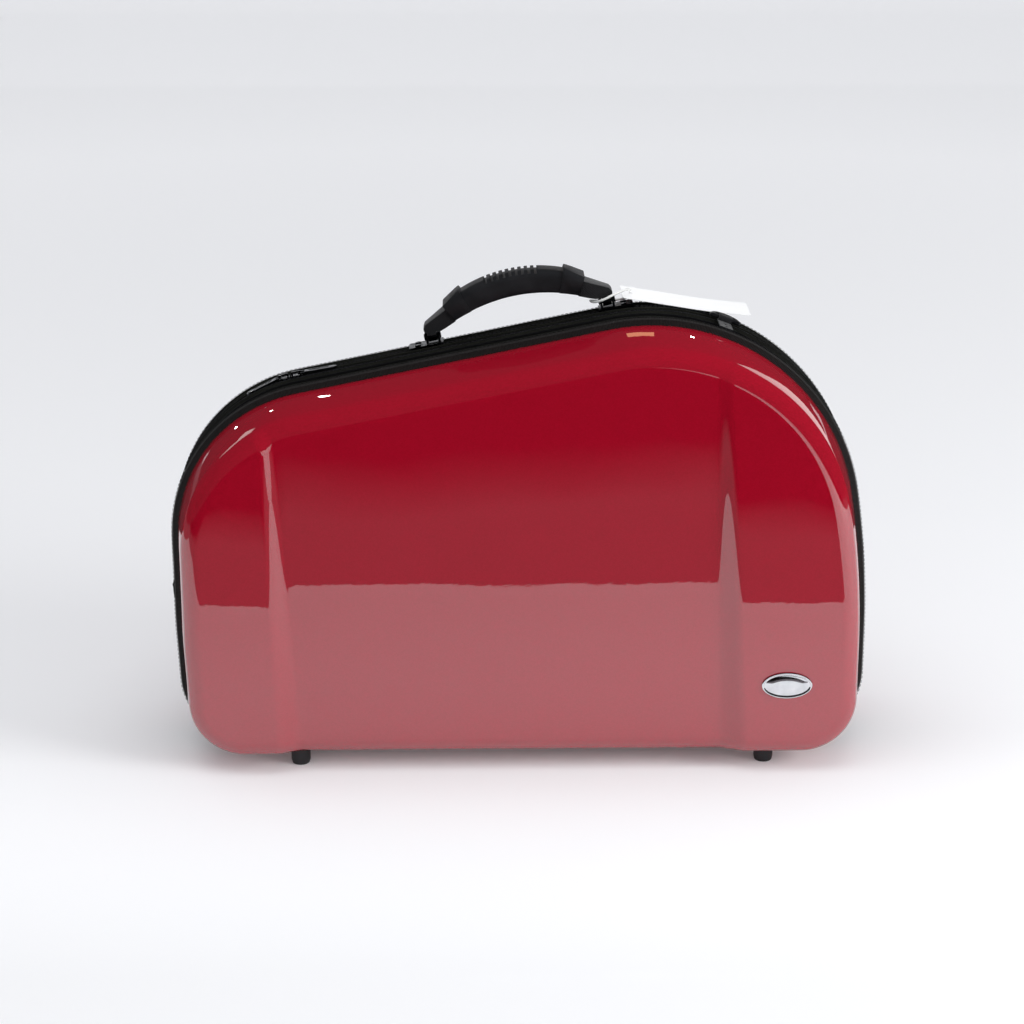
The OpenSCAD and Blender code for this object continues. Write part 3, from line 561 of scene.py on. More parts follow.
def ribbed_binding(look):
    # Grosgrain tape of spun polyester: cross ribs and a duller, warmer black than the nylon
    f = Finish("grosgrain binding tape")
    split = f.add("SeparateXYZ", {"Vector": f.add("UVMap")})
    rib = f.add("Math", {0: f.wave(split, math.pi / look.rib)}, operation="ABSOLUTE")
    place = f.add("TexCoord"), "Object"
    fuzz = f.add("TexNoise", {"Vector": place, "Scale": 1400, "Detail": 3})
    return f.done(
        f.summed(fuzz, 0.5, rib, 0.5), [(0.1, "#0c0a0a"), (0.9, "#1f1b1a")],
        f.summed(fuzz, 0.3, rib), look.rib * 0.35, 0.72,
        Specular_IOR_Level=0.25, Sheen_Weight=0.1,
    )


def zip_tape_cloth():
    # Polyester zip tape: a close herringbone with no shine
    f = Finish("herringbone zip tape")
    split = f.add("SeparateXYZ", {"Vector": f.add("UVMap")})
    zig = f.add("Math", {0: (split, 1), 1: 0.0016}, operation="PINGPONG")
    wave = f.wave(f.add("Math", {0: split, 1: zig}, operation="ADD"), 6000)
    tone = f.add("MapRange", {"Value": wave, "To Min": 0.4, "To Max": 0.6})
    return f.done(tone, [(0, "#08080a"), (1, "#17171a")], wave, 0.00008, 0.8)


def moulded_acetal():
    # Black acetal, the resin of moulded zip teeth: hard and slightly waxy
    f = Finish("black acetal")
    flow = f.add("TexNoise", {"Vector": (f.add("TexCoord"), "Object"), "Scale": 500})
    return f.done(flow, [(0.3, "#0b0b0d"), (0.7, "#18181b")], flow, 0.00003, (flow, 0.25, 0.42))


def sewing_thread():
    # Bonded polyester thread, twisted from two plies, a little lighter than the cloth
    f = Finish("bonded thread")
    place = f.add("TexCoord"), "Object"
    twist = f.add(
        "TexWave", {"Vector": place, "Scale": 400, "Distortion": 2}, bands_direction="DIAGONAL"
    )
    return f.done(
        (twist, "Fac"), [(0, "#101012"), (1, "#343438")], (twist, "Fac"), 0.0001, 0.5
    )


def moulded_rubber(look, name="moulded rubber", grit=1100):
    # Thermoplastic rubber from a spark-eroded mould: a fine even grain that goes
    # slightly polished and lighter where hands and floors rub it. Its sharp edges are also
    # painted lighter and its hollows darker: a painted highlight and painted shade
    f = Finish(name)
    place = f.add("TexCoord"), "Object"
    grain = f.add("TexNoise", {"Vector": place, "Scale": grit, "Detail": 3, "Roughness": 0.6})
    worn = f.add("TexNoise", {"Vector": place, "Scale": 60, "Detail": 3})
    return f.done(
        # Pointiness lightens sharp edges, a painted highlight, and darkens hollows, painted shade
        f.summed(worn, 0.5, (f.add("NewGeometry"), "Pointiness"), 0.6),
        [(0.35, look.rubber), (0.75, look.rubber_worn_and_edge_highlight)], grain, 0.00012, (worn, 0.42, 0.62),
    )


def handle_webbing():
    # Nylon webbing, woven in wide diagonal floats, folded and stitched
    f = Finish("nylon webbing")
    place = f.add("TexCoord"), "Object"
    split = f.add("SeparateXYZ", {"Vector": place})
    cross = f.add("Math", {0: (split, 1), 1: 0.0022}, operation="PINGPONG")
    slant = f.add("Math", {0: split, 1: cross}, operation="ADD")
    wave = f.wave(f.add("Math", {0: slant, 1: (split, 2)}, operation="ADD"), 3000)
    fuzz = f.add("TexNoise", {"Vector": place, "Scale": 1500})
    tone = f.summed(wave, 0.25, fuzz)
    return f.done(tone, [(0.2, "#09090b"), (0.9, "#1c1c20")], tone, 0.0003, 0.7, Sheen_Weight=0.25)


def metal(name, light, dark, rough, scratches, scratch_depth):
    """A bare or plated metal with fine scratches and fingerprints in its gloss"""
    f = Finish(name)
    place = f.add("TexCoord"), "Object"
    stretch = f.add("Mapping", {"Vector": place, "Scale": (scratches, 40, 40)})
    lines = f.add("TexNoise", {"Vector": stretch, "Scale": 1, "Detail": 3})
    prints = f.add("TexNoise", {"Vector": place, "Scale": 120, "Detail": 3})
    return f.done(
        prints, [(0.3, dark), (0.7, light)], lines, scratch_depth,
        (prints, rough * 0.6, rough * 1.5), Metallic=1.0,
    )


def coated_card():
    # Matt laminated card: bare, white and faintly mottled, with cut fibres at its edges
    f = Finish("laminated card")
    place = f.add("TexCoord"), "Object"
    fibre = f.add("TexNoise", {"Vector": place, "Scale": 500, "Detail": 3})
    mottle = f.add("TexNoise", {"Vector": place, "Scale": 40})
    return f.done(mottle, [(0.2, "#f8f8f7"), (0.8, "#ffffff")], fibre, 0.00003, 0.38)


def clear_nylon():
    # Moulded natural nylon: milky white, a little light passes through it
    f = Finish("natural nylon")
    haze = f.add("TexNoise", {"Vector": (f.add("TexCoord"), "Object"), "Scale": 300})
    return f.done(
        haze, [(0.2, "#d9dad8"), (0.8, "#f1f1ee")], haze, 0.00002, 0.25,
        Subsurface_Weight=0.3, Subsurface_Radius=(0.002, 0.002, 0.002), Subsurface_Scale=0.5,
    )


def plush_lining(look):
    # Short-pile plush on foam: soft dark grey, with patches where the pile lies over
    f = Finish("plush lining")
    place = f.add("TexCoord"), "Object"
    pile = f.add("TexNoise", {"Vector": place, "Scale": 900})
    lay = f.add("TexNoise", {"Vector": place, "Scale": 16, "Detail": 3})
    return f.done(
        f.summed(pile, 0.35, lay, 0.7), [(0.3, look.plush_dark), (0.8, look.plush)],
        pile, 0.0008, 0.95, Sheen_Weight=0.7, Sheen_Roughness=0.5,
    )


# ---- Sizes and colours to change ----


class ShellLook(bpy.types.PropertyGroup):
    lacquer: bpy.props.StringProperty(
        name="Lacquer", description="Colour of the lacquer, as sRGB hex", default="#9f0c24"
    )
    lacquer_dark: bpy.props.StringProperty(
        name="Lacquer, dark", description="Darker flakes in the lacquer", default="#930a1e"
    )
    flake: bpy.props.FloatProperty(
        name="Flake size", description="Distance between flakes", default=0.0009, min=0.0002,
        unit="LENGTH",
    )
    edge: bpy.props.FloatProperty(
        name="Rim rounding", description="Rounding of the cut rim", default=0.0004, min=0,
        unit="LENGTH",
    )


class BandLook(bpy.types.PropertyGroup):
    fabric_dark: bpy.props.StringProperty(
        name="Fabric, dark", description="Low points of the weave", default="#0a0a09"
    )
    fabric_light: bpy.props.StringProperty(
        name="Fabric, light", description="High points of the weave", default="#23241f"
    )
    thread: bpy.props.FloatProperty(
        name="Thread spacing", description="Spacing of the woven threads", default=0.0012, min=0.0004,
        unit="LENGTH",
    )
    rib: bpy.props.FloatProperty(
        name="Binding rib", description="Width of a rib of the binding", default=0.0013, min=0.0004,
        unit="LENGTH",
    )
    stitch: bpy.props.FloatProperty(
        name="Stitch spacing", description="From one stitch to the next", default=0.0038, min=0.002,
        unit="LENGTH",
    )
    tooth: bpy.props.FloatProperty(
        name="Tooth spacing", description="From one zip tooth to the next", default=0.0028, min=0.002,
        unit="LENGTH",
    )


class HandleLook(bpy.types.PropertyGroup):
    rubber: bpy.props.StringProperty(
        name="Rubber", description="Colour of the rubber", default="#0e0f11"
    )
    # Also the colour of the painted highlight on the rubber's sharp edges
    rubber_worn_and_edge_highlight: bpy.props.StringProperty(
        name="Rubber, worn", description="Colour where it is rubbed", default="#232427"
    )
    edge: bpy.props.FloatProperty(
        name="Grip rounding", description="Rounding of the grip's edges, in millimetres",
        default=0.9, min=0.1, max=2,
    )


class LiningLook(bpy.types.PropertyGroup):
    plush: bpy.props.StringProperty(
        name="Plush", description="Raised pile", default="#5a5a61"
    )
    plush_dark: bpy.props.StringProperty(
        name="Plush, dark", description="Brushed-down pile", default="#3c3c42"
    )
    grain: bpy.props.FloatProperty(
        name="Foam grain", description="Size of the foam model's cells", default=0.004, min=0.002,
        unit="LENGTH",
    )
    crown: bpy.props.FloatProperty(
        name="Plush waviness", description="Height of the plush's unevenness", default=0.0008, min=0,
        unit="LENGTH",
    )


class StageLook(bpy.types.PropertyGroup):
    floor: bpy.props.StringProperty(
        name="Floor", description="Colour of the floor and backdrop", default="#eeeeef"
    )
    # The room is painted shade: a dark glow that only the shells mirror
    room: bpy.props.StringProperty(
        name="Room", description="Colour of the dim room that the shells mirror", default="#383638"
    )
    floor_lift: bpy.props.FloatProperty(
        name="Floor lift", description="Glow of the cloth by the case, where it is seen",
        default=0.075, min=0,
    )
    backdrop_lift: bpy.props.FloatProperty(
        name="Backdrop lift", description="Glow of the cloth far from the case", default=0.31, min=0
    )
    key: bpy.props.FloatProperty(
        name="Key light", description="Power of the light overhead", default=12, min=0, unit="POWER"
    )
    fill: bpy.props.FloatProperty(
        name="Fill light", description="Strength of the room's light", default=0.66, min=0
    )


def look(name):
    return getattr(bpy.context.scene, "horn_case_" + name)


# ---- Shells ----

CORNER_STEPS = 14
PANEL_COLS = 8
RAMP_COLS = 16
SHOULDER_COLS = 3
STRAIGHT_COLS = 12
CROWN_COLS = 24
SIDE_ROWS = 30
SIDE_COLS = CORNER_STEPS + PANEL_COLS
COLS = 2 * (SIDE_COLS + RAMP_COLS) + SHOULDER_COLS + STRAIGHT_COLS + CROWN_COLS
ROWS = 2 * CORNER_STEPS + SIDE_ROWS
FILLET_STEPS = 14
DROP_BOW = 2.5          # the middle panel bows on its way up to the top
UNDER_DRAFT = 2.5       # the undersides stand almost square to the rims
WALL_STEPS = 8
WALL_CROWN = 6          # how far the crowned side turns at its fillet, in degrees
WALL_RISE = 0.9         # how far it stands out of a straight side
SHOULDER_SHIFT = 20     # the column under the shoulder's end stands this far right at the bottom
# Headings on the rounded corners where the face's columns end and its rows start, and how
# far along the two top corners the end columns reach
SPLIT = {BOTTOM_LEFT: 225, BOTTOM_RIGHT: -45, CROWN: 38, SHOULDER: 146}
TOP_TURN = 24
# Where each ramp starts and ends, at its foot and at its top
RAMP_LEFT = [(84 - RIM_W / 2, 108 - RIM_W / 2), (66 - RIM_W / 2, 82 - RIM_W / 2)]
RAMP_RIGHT = [(RIM_W / 2 - 128, RIM_W / 2 - 102), (RIM_W / 2 - 130, RIM_W / 2 - 113)]


def spread(a, b, n):
    """n even steps after a, up to b"""
    return [a + (b - a) * k / n for k in range(1, n + 1)]


def corner_places(i, start, end, axis):
    """One coordinate of points along a rounded corner, from one heading to another"""
    c = CORNER[i]
    turn = (cosd, sind)[axis]
    return [c.centre[axis] + c.radius * turn(a) for a in [start, *spread(start, end, CORNER_STEPS)]]


def shell_columns(k, left, right):
    """Where the face's columns stand at the bottom (0) or the top (1)"""
    straight = CORNER[SHOULDER].start.x + (SHOULDER_SHIFT, 0)[k]
    crown = CORNER[CROWN].end.x
    return (
        left
        + spread(left[-1], RAMP_LEFT[k][0], PANEL_COLS)
        + spread(RAMP_LEFT[k][0], RAMP_LEFT[k][1], RAMP_COLS)
        + spread(RAMP_LEFT[k][1], straight, SHOULDER_COLS)
        + spread(straight, crown, STRAIGHT_COLS)
        + spread(crown, RAMP_RIGHT[k][0], CROWN_COLS)
        + spread(RAMP_RIGHT[k][0], RAMP_RIGHT[k][1], RAMP_COLS)
        + spread(RAMP_RIGHT[k][1], right[0], PANEL_COLS)
        + right[1:]
    )


LOW_X = shell_columns(
    0,
    corner_places(BOTTOM_LEFT, SPLIT[BOTTOM_LEFT], 270, 0),
    corner_places(BOTTOM_RIGHT, -90, SPLIT[BOTTOM_RIGHT], 0),
)
TOP_X = shell_columns(
    1,
    corner_places(SHOULDER, SPLIT[SHOULDER], SPLIT[SHOULDER] - TOP_TURN, 0),
    corner_places(CROWN, SPLIT[CROWN] + TOP_TURN, SPLIT[CROWN], 0),
)


def shell_rows(low, high):
    return low + spread(low[-1], high[0], SIDE_ROWS) + high[1:]


LEFT_Y = shell_rows(
    corner_places(BOTTOM_LEFT, SPLIT[BOTTOM_LEFT], 180, 1),
    corner_places(SHOULDER, 180, SPLIT[SHOULDER], 1),
)
RIGHT_Y = shell_rows(
    corner_places(BOTTOM_RIGHT, SPLIT[BOTTOM_RIGHT], 0, 1),
    corner_places(CROWN, LEAN_RIGHT, SPLIT[CROWN], 1),
)


def ramp_share(i):
    """How far a column of the face is lowered with the middle panel, from 0 to 1"""
    i = min(i, COLS - i)
    t = max(0, min(1, (i - SIDE_COLS) / RAMP_COLS))
    return t * t * (3 - 2 * t)


CROWN_H = CORNER[CROWN].centre.y + CORNER[CROWN].radius


def drop_at(share, y):
    """How far the middle panel is lowered at a height"""
    up = max(0, (y - SHELL_FILLET) / (CROWN_H - SHELL_FILLET))
    return share * PANEL_DROP * (1 - up ** DROP_BOW)


def rim_points():
    """(point, normal, share of the drop) round the rim, from the lower left"""
    return (
        [(*lower(LOW_X[i]), ramp_share(i)) for i in range(COLS + 1)]
        + [(*right_side(RIGHT_Y[j]), 0) for j in range(1, ROWS)]
        + [(*upper(TOP_X[i]), ramp_share(i)) for i in range(COLS, -1, -1)]
        + [(*left_side(LEFT_Y[j]), 0) for j in range(ROWS - 1, 0, -1)]
    )


RIM = rim_points()


def rim_index(i, j):
    """Which of the rim's points a point on the face's boundary belongs to, or -1 inside it"""
    if j == 0:
        return i
    if i == COLS:
        return COLS + j
    if j == ROWS:
        return 2 * COLS + ROWS - i
    if i == 0:
        return 2 * COLS + 2 * ROWS - j
    return -1


def draft_at(q):
    """The side wall's draft, in degrees, at one of the rim's points"""
    return SHELL_DRAFT + (UNDER_DRAFT - SHELL_DRAFT) * max(0, -q[1].y)


def ring_at(q, turned):
    """A point of the fillet, turned from 0 at the face to 1 at the side: (x, y, depth)"""
    p, n, share = q
    draft = draft_at(q)
    inset = (SHELL_FILLET + (SHELL_DEPTH - SHELL_FILLET) * sind(draft)) / cosd(draft)
    up = SHELL_DEPTH - drop_at(share, p.y - n.y * inset) - SHELL_FILLET
    angle = 90 + (draft + WALL_CROWN - 90) * turned
    centre = -(SHELL_FILLET + up * sind(draft)) / cosd(draft)
    out = centre + SHELL_FILLET * cosd(angle)
    return p.x + n.x * out, p.y + n.y * out, HALF + up + SHELL_FILLET * sind(angle)


def wall_at(q, t):
    """A point of the crowned side, from 0 at the fillet to 1 at the rim: (x, y, depth)"""
    x, y, depth = Vector(ring_at(q, 1)).lerp(Vector((q[0].x, q[0].y, HALF)), t)
    rise = 4 * WALL_RISE * t * (1 - t)
    return x + q[1].x * rise, y + q[1].y * rise, depth


def shell_face(name, side, edge_ring):
    """The shell's face, inside the first ring of its fillet"""

    def place(i, j):
        k = rim_index(i, j)
        if k >= 0:
            x, y, d = edge_ring[k]
        else:
            t = j / ROWS
            a = edge_ring[rim_index(i, 0)]
            b = edge_ring[rim_index(i, ROWS)]
            x = a[0] + (b[0] - a[0]) * t
            y = a[1] + (b[1] - a[1]) * t
            d = HALF + SHELL_DEPTH - drop_at(ramp_share(i), y)
        return stand(x, y, d * side)

    return shaped_grid(name, COLS, ROWS, place)


def select_boundary(o, side, edge_ring):
    """Selects the face's boundary, and keeps in each of its points which of the rim's it is"""
    near = {
        tuple(round(c, 7) for c in stand(x, y, d * side)): k for k, (x, y, d) in enumerate(edge_ring)
    }
    bm = bmesh.from_edit_mesh(o.data)
    rim = bm.verts.layers.int.new("rim")
    for v in bm.verts:
        if v.is_boundary:
            v[rim] = near[tuple(round(c, 7) for c in v.co)]
    for e in bm.edges:
        if e.is_boundary:
            e.select_set(True)
    bmesh.update_edit_mesh(o.data)


def make_shell(name, side, lacquer, inside, edge):
    """A face, with its boundary extruded round the fillet and down the sides to the rim"""
    edge_ring = [ring_at(q, 0) for q in RIM]
    o = shell_face(name, side, edge_ring)
    levels = [(ring_at, t) for t in spread(0, 1, FILLET_STEPS)]
    levels += [(wall_at, t) for t in spread(0, 1, WALL_STEPS)]
    with editing(o, "DESELECT"):
        bpy.ops.mesh.select_mode(type="EDGE")
        select_boundary(o, side, edge_ring)
        for shape, t in levels:
            bpy.ops.mesh.extrude_region_move()
            bm = bmesh.from_edit_mesh(o.data)
            rim = bm.verts.layers.int["rim"]
            for v in bm.verts:
                if v.select:
                    x, y, depth = shape(RIM[v[rim]], t)
                    v.co = stand(x, y, depth * side)
            bmesh.update_edit_mesh(o.data)
        bpy.ops.mesh.select_all(action="SELECT")
        bpy.ops.mesh.normals_make_consistent(inside=False)
    # The face has to look out of the case before the wall gets its thickness
    if o.data.polygons[COLS * ROWS // 2].normal.y * side > 0:
        with editing(o):
            bpy.ops.mesh.flip_normals()
    coat(o, lacquer, inside)
    modified(
        o, "SOLIDIFY", thickness=SHELL_WALL * MM, offset=-1, use_even_offset=True,
        material_offset=1,
    )
    modified(
        o, "BEVEL", width=edge, segments=2, limit_method="ANGLE", angle_limit=math.radians(55)
    )
    smooth_by_angle(o, 50)
    return o


class HORNCASE_OT_shells(bpy.types.Operator):
    """Two moulded shells with their ramps and lowered middle panel"""

    bl_idname = "horn_case.shells"
    bl_label = "Shells"

    def execute(self, context):
        own = look("shell")
        lacquer = lacquered_fibreglass(own)
        inside = bare_fibreglass()
        for face, side, body in HALVES:
            o = make_shell(face + "_shell_lacquered", side, lacquer, inside, own.edge)
            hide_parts(face + "_shell")
            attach(o, body)
        return {"FINISHED"}


# ---- Soft band ----


CLOTH_STEP = 6          # the outline's points are this far apart for the cloth
STITCH_STEP = 4         # and for the stitches
CROWNED = 0.5           # how far the cloth rises between its two seams
UNEVEN = 0.28           # and how far it strays from that


def edge_wave(s, out, depth):
    """The board's cloth isn't quite even"""
    if out < 2:
        return 0
    return UNEVEN * noise.noise(Vector((s / 45, depth / 30, 3)))


def gusset_profile(edge):
    """Cloth, the ledge that carries the binding, the lip inside the shell, and the lining"""
    bind = HALF - BINDING_W
    points = [
        (BAND_PROUD, edge), (BAND_PROUD + CROWNED, (edge + bind) / 2), (BAND_PROUD, bind + 1),
        (0, bind + 1), (0, HALF - 0.4), (-3.6, HALF - 0.4), (-4.6, HALF + 6.6), (-6.2, HALF + 6.6),
        (-6.2, bind - 5), (-BAND_INSIDE, bind - 9), (-BAND_INSIDE, edge),
    ]
    radii = [1.4, 14, 0, 0, 0, 0, 0.4, 0.4, 1.5, 3, 1.2]
    return rounded_profile(points, radii, 5)


STITCH_R = 0.00026      # in metres
STITCH_L = 0.0029


def stitched_row(name, path, depth, out, spacing):
    """A row of stitches round the band at a depth"""
    deselect()
    bpy.ops.mesh.primitive_cylinder_add(
        vertices=6, radius=STITCH_R, depth=STITCH_L, rotation=(0, math.pi / 2, 0)
    )
    template = chamfered_template(bpy.context.object, 0.00018)
    return copies(name, template, band_places(path, spacing, depth, out))


def band_places(path, spacing, depth, out, whole=True, shift=0.0):
    """Matrices along the outline: X back along it, Y outwards, Z towards the front"""
    closing = (path[0][0] - path[-1][0]).length if whole else 0
    track = list(path)
    if whole:
        p, n, s = path[0]
        track.append((p, n, path[-1][2] + closing))
    length = track[-1][2]
    pitch = spacing / MM
    count = int(length / pitch)
    pitch = length / count
    places = []
    k = 0
    for m in range(count if whole else count - 1):
        s = (m + 0.5 + shift) * pitch
        while k < len(track) - 2 and track[k + 1][2] < s:
            k += 1
        a, b = track[k], track[k + 1]
        t = (s - a[2]) / max(1e-9, b[2] - a[2])
        p = a[0].lerp(b[0], t)
        n = a[1].lerp(b[1], t).normalized()
        at = stand(p.x + n.x * out, p.y + n.y * out, depth)
        m4 = Matrix(
            ((n.y, n.x, 0, at.x), (0, 0, -1, at.y), (-n.x, n.y, 0, at.z), (0, 0, 0, 1))
        )
        places.append(m4)
    return places


class HORNCASE_OT_band(bpy.types.Operator):
    """The soft band: its two gussets, their stitching, the edge bindings and the hinge"""

    bl_idname = "horn_case.band"
    bl_label = "Soft Band"

    def execute(self, context):
        own = look("band")
        nylon = woven_nylon(own)
        tape = ribbed_binding(own)
        thread = sewing_thread()
        path = outline(CLOTH_STEP)
        fine = outline(STITCH_STEP)
        for (name, side, body), edge in zip(HALVES, (CHAN_FRONT, -CHAN_REAR)):
            o = swept(name + "_gusset_cloth", gusset_profile(edge), path, side, wave=edge_wave)
            finish_piece(o, body, nylon, [name + "_gusset"])
            bind = HALF - BINDING_W
            top = BAND_PROUD + BINDING_T
            seam = HALF + BINDING_LAP
            profile = rounded_profile(
                [(0, seam), (0, bind), (top, bind), (top, seam)], [0, 0, 1.6, 2.6], 6
            )
            o = swept(name + "_binding_tape", profile, path, side)
            finish_piece(o, body, tape, [name + "_binding"])
            # Each row's depth from the zip's or the binding's edge, and its height
            rows = (
                ("zip_seam", edge + 1.9, BAND_PROUD + 0.12),
                ("zip_topstitch", edge + 4.4, BAND_PROUD + 0.28),
                ("binding_seam", bind + 1.3, BAND_PROUD + 0.42),
            )
            for row, depth, out in rows:
                o = stitched_row(f"{name}_{row}", fine, depth * side, out, own.stitch)
                finish_piece(o, body, thread)
        hinge_strip(nylon)
        return {"FINISHED"}


HINGE_TURN_IN = 1.2     # how far the cloth reaches under each gusset
HINGE_BOW = 0.5         # how far its middle hangs in
HINGE_LIFT = 0.9        # how far its edges lie inside the band's face
HINGE_T = 0.7
HINGE_STEPS = (160, 12)


def hinge_strip(material):
    """The cloth that joins the two gussets along the bottom"""
    left = CORNER[BOTTOM_LEFT].end.x + 1
    length = CORNER[BOTTOM_RIGHT].start.x - 1 - left
    front = CHAN_FRONT + HINGE_TURN_IN
    width = CHAN_REAR - HINGE_TURN_IN - front
    along, across = HINGE_STEPS

    def place(i, j):
        x = left + length * i / along
        d = front + width * j / across
        bow = HINGE_BOW * math.sin(math.pi * j / across)
        uneven = 0.1 * noise.noise(Vector((x / 20, d / 4, 7)))
        return stand(x, -BAND_PROUD + HINGE_LIFT + bow + uneven, d)

    o = shaped_grid(
        "hinge_cloth", along, across, place,
        lambda i, j: (length * i / along * MM, width * j / across * MM),
    )
    modified(o, "SOLIDIFY", thickness=HINGE_T * MM, offset=0)
    smooth_by_angle(o, 60)
    coat(o, material)
    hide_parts("hinge_web")
    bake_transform(o)


# ---- Zip ----


TOOTH = (0.00125, 0.0024, 0.0038)       # along the zip, out of it and across it, in metres
ZIP_STEP = 5            # the outline's points are this far apart for the zip
TEETH_AT = 1.0          # middle of a row of teeth, from the zip's middle
TAPE_NEAR = 1.6         # and the tape's two edges
TAPE_FAR = 10.5


def zip_tooth():
    """A moulded tooth: a body that grips the tape's edge, and a rounded head"""
    deselect()
    bpy.ops.mesh.primitive_cube_add(size=1)
    o = bpy.context.object
    o.scale = TOOTH
    return chamfered_template(o, 0.0003)


class HORNCASE_OT_zip(bpy.types.Operator):
    """The two halves of the zip: tapes and moulded teeth"""

    bl_idname = "horn_case.zip"
    bl_label = "Zip"

    def execute(self, context):
        own = look("band")
        cloth = zip_tape_cloth()
        acetal = moulded_acetal()
        path = outline(ZIP_STEP, whole=False)
        tooth = zip_tooth()
        middle = TAPE_OUT - TAPE_T / 2
        for name, side, body in HALVES:
            near = ZIP_AT * side + TAPE_NEAR
            far = ZIP_AT * side + TAPE_FAR
            inner = TAPE_OUT - TAPE_T
            profile = rounded_profile(
                [(inner, near), (TAPE_OUT, near), (TAPE_OUT, far), (inner, far)],
                [0.3, 0.3, 0, 0],
                2,
            )
            o = swept(name + "_zip_tape", profile, path, side, closed=False)
            finish_piece(o, body, cloth, [name + "_zip"])
            # The two rows are half a tooth's spacing apart
            places = band_places(
                path, own.tooth, ZIP_AT + side * TEETH_AT, middle, False, 0.25 * side
            )
            o = copies(name + "_zip_teeth", tooth, places)
            finish_piece(o, body, acetal)
        return {"FINISHED"}


# ---- Handle, zip pulls, rings and feet: frame nodes with rounded edges ----


UNDER_MID = -120        # centre of the grip's lower curve, from the band's face
UNDER_RADIUS = 150


def flush_below(o):
    """The collars stand out above and beside the grip, and lie flush under it, on one flat curve"""
    up = Vector((-sind(TOP_SLOPE), 0, cosd(TOP_SLOPE)))
    foot = stand(HANDLE_X, MID_H + HANDLE_X * tand(TOP_SLOPE), 0)
    middle = foot + up * ((BAND_PROUD + UNDER_MID) * MM)
    for v in o.data.vertices:
        arm = Vector((v.co.x - middle.x, 0, v.co.z - middle.z))
        if arm.length < UNDER_RADIUS * MM:
            arm *= UNDER_RADIUS * MM / arm.length
            v.co.x = middle.x + arm.x
            v.co.z = middle.z + arm.z


class HORNCASE_OT_handle(bpy.types.Operator):
    """The grip, its webbing ends, hinge eyes, pins, brackets and rivets"""

    bl_idname = "horn_case.handle"
    bl_label = "Handle"

    def execute(self, context):
        own = look("handle")
        rubber = moulded_rubber(own)
        webbing = handle_webbing()
        steel = metal("blackened steel", "#4e5054", "#393b3e", 0.3, 900, 0.00001)
        o = softened("grip_rubber", "handle_grip", own.edge, 3)
        flush_below(o)
        finish_piece(o, "handle", rubber, ["handle_grip"])
        from_node("handle_webbing", "handle_strap", 0.9, "handle", webbing, 3)
        for side in ("left", "right"):
            for piece, node, body, edge in (
                ("hinge_eye", "handle_eye_", "handle", 0.5),
                ("hinge_pin", "handle_pin_", "root", 0.3),
                ("bracket_plate", "handle_bracket_", "root", 0.45),
                ("bracket_rivet_pair", "bracket_rivets_", "root", 0.45),
            ):
                from_node(f"{piece}_{side}", node + side, edge, body, steel)
        return {"FINISHED"}


class HORNCASE_OT_pulls(bpy.types.Operator):
    """The zip sliders and their pulls"""

    bl_idname = "horn_case.pulls"
    bl_label = "Zip Pulls"

    def execute(self, context):
        gunmetal = metal("black nickel casting", "#4a4b4f", "#2c2d30", 0.24, 400, 0.00002)
        grey = metal("smoked nickel casting", "#6b6d71", "#4c4e52", 0.28, 500, 0.00002)
        for side in ("left", "right"):
            from_node(
                f"slider_casting_{side}", f"zip_slider_{side}", 0.35, f"slider_{side}", gunmetal,
            )
            from_node(
                f"pull_casting_{side}", f"zip_pull_{side}", 0.3, f"pull_{side}", grey,
            )
        return {"FINISHED"}


class HORNCASE_OT_rings(bpy.types.Operator):
    """The strap rings and the tabs that hold them"""

    bl_idname = "horn_case.rings"
    bl_label = "Strap Rings"

    def execute(self, context):
        webbing = handle_webbing()
        acetal = moulded_acetal()
        for side, body in (("left", "root"), ("right", "lid")):
            from_node(f"ring_tab_{side}", f"strap_tab_{side}", 0.3, body, webbing)
            from_node(
                f"ring_moulding_{side}", f"strap_ring_{side}", 0, f"ring_{side}", acetal,
            )
        return {"FINISHED"}


class HORNCASE_OT_feet(bpy.types.Operator):
    """Four rubber feet and their screws"""

    bl_idname = "horn_case.feet"
    bl_label = "Feet"

    def execute(self, context):
        rubber = moulded_rubber(look("handle"), "foot rubber", 700)
        zinc = metal("zinc plated steel", "#b9bbb6", "#8f918c", 0.3, 300, 0.00002)
        for face, _, body in HALVES:
            for side in ("left", "right"):
                from_node(
                    f"{face}_rubber_foot_{side}", f"{face}_foot_{side}", 0.8, body, rubber,
                    3,
                )
                from_node(
                    f"{face}_screw_{side}", f"{face}_foot_screw_{side}", 0.25, body, zinc
                )
        return {"FINISHED"}


# ---- Plate on the shell ----

PLATE_AT = (RIM_W / 2 - 70, 69.5)
PLATE_W = 44
PLATE_H = 24
PLATE_T = 1.4
GROOVE = 2.5            # from the plate's edge to where its dome starts
GROOVE_H = 0.38         # the plate's height there
DOME = 0.95             # the dome's rise over the groove


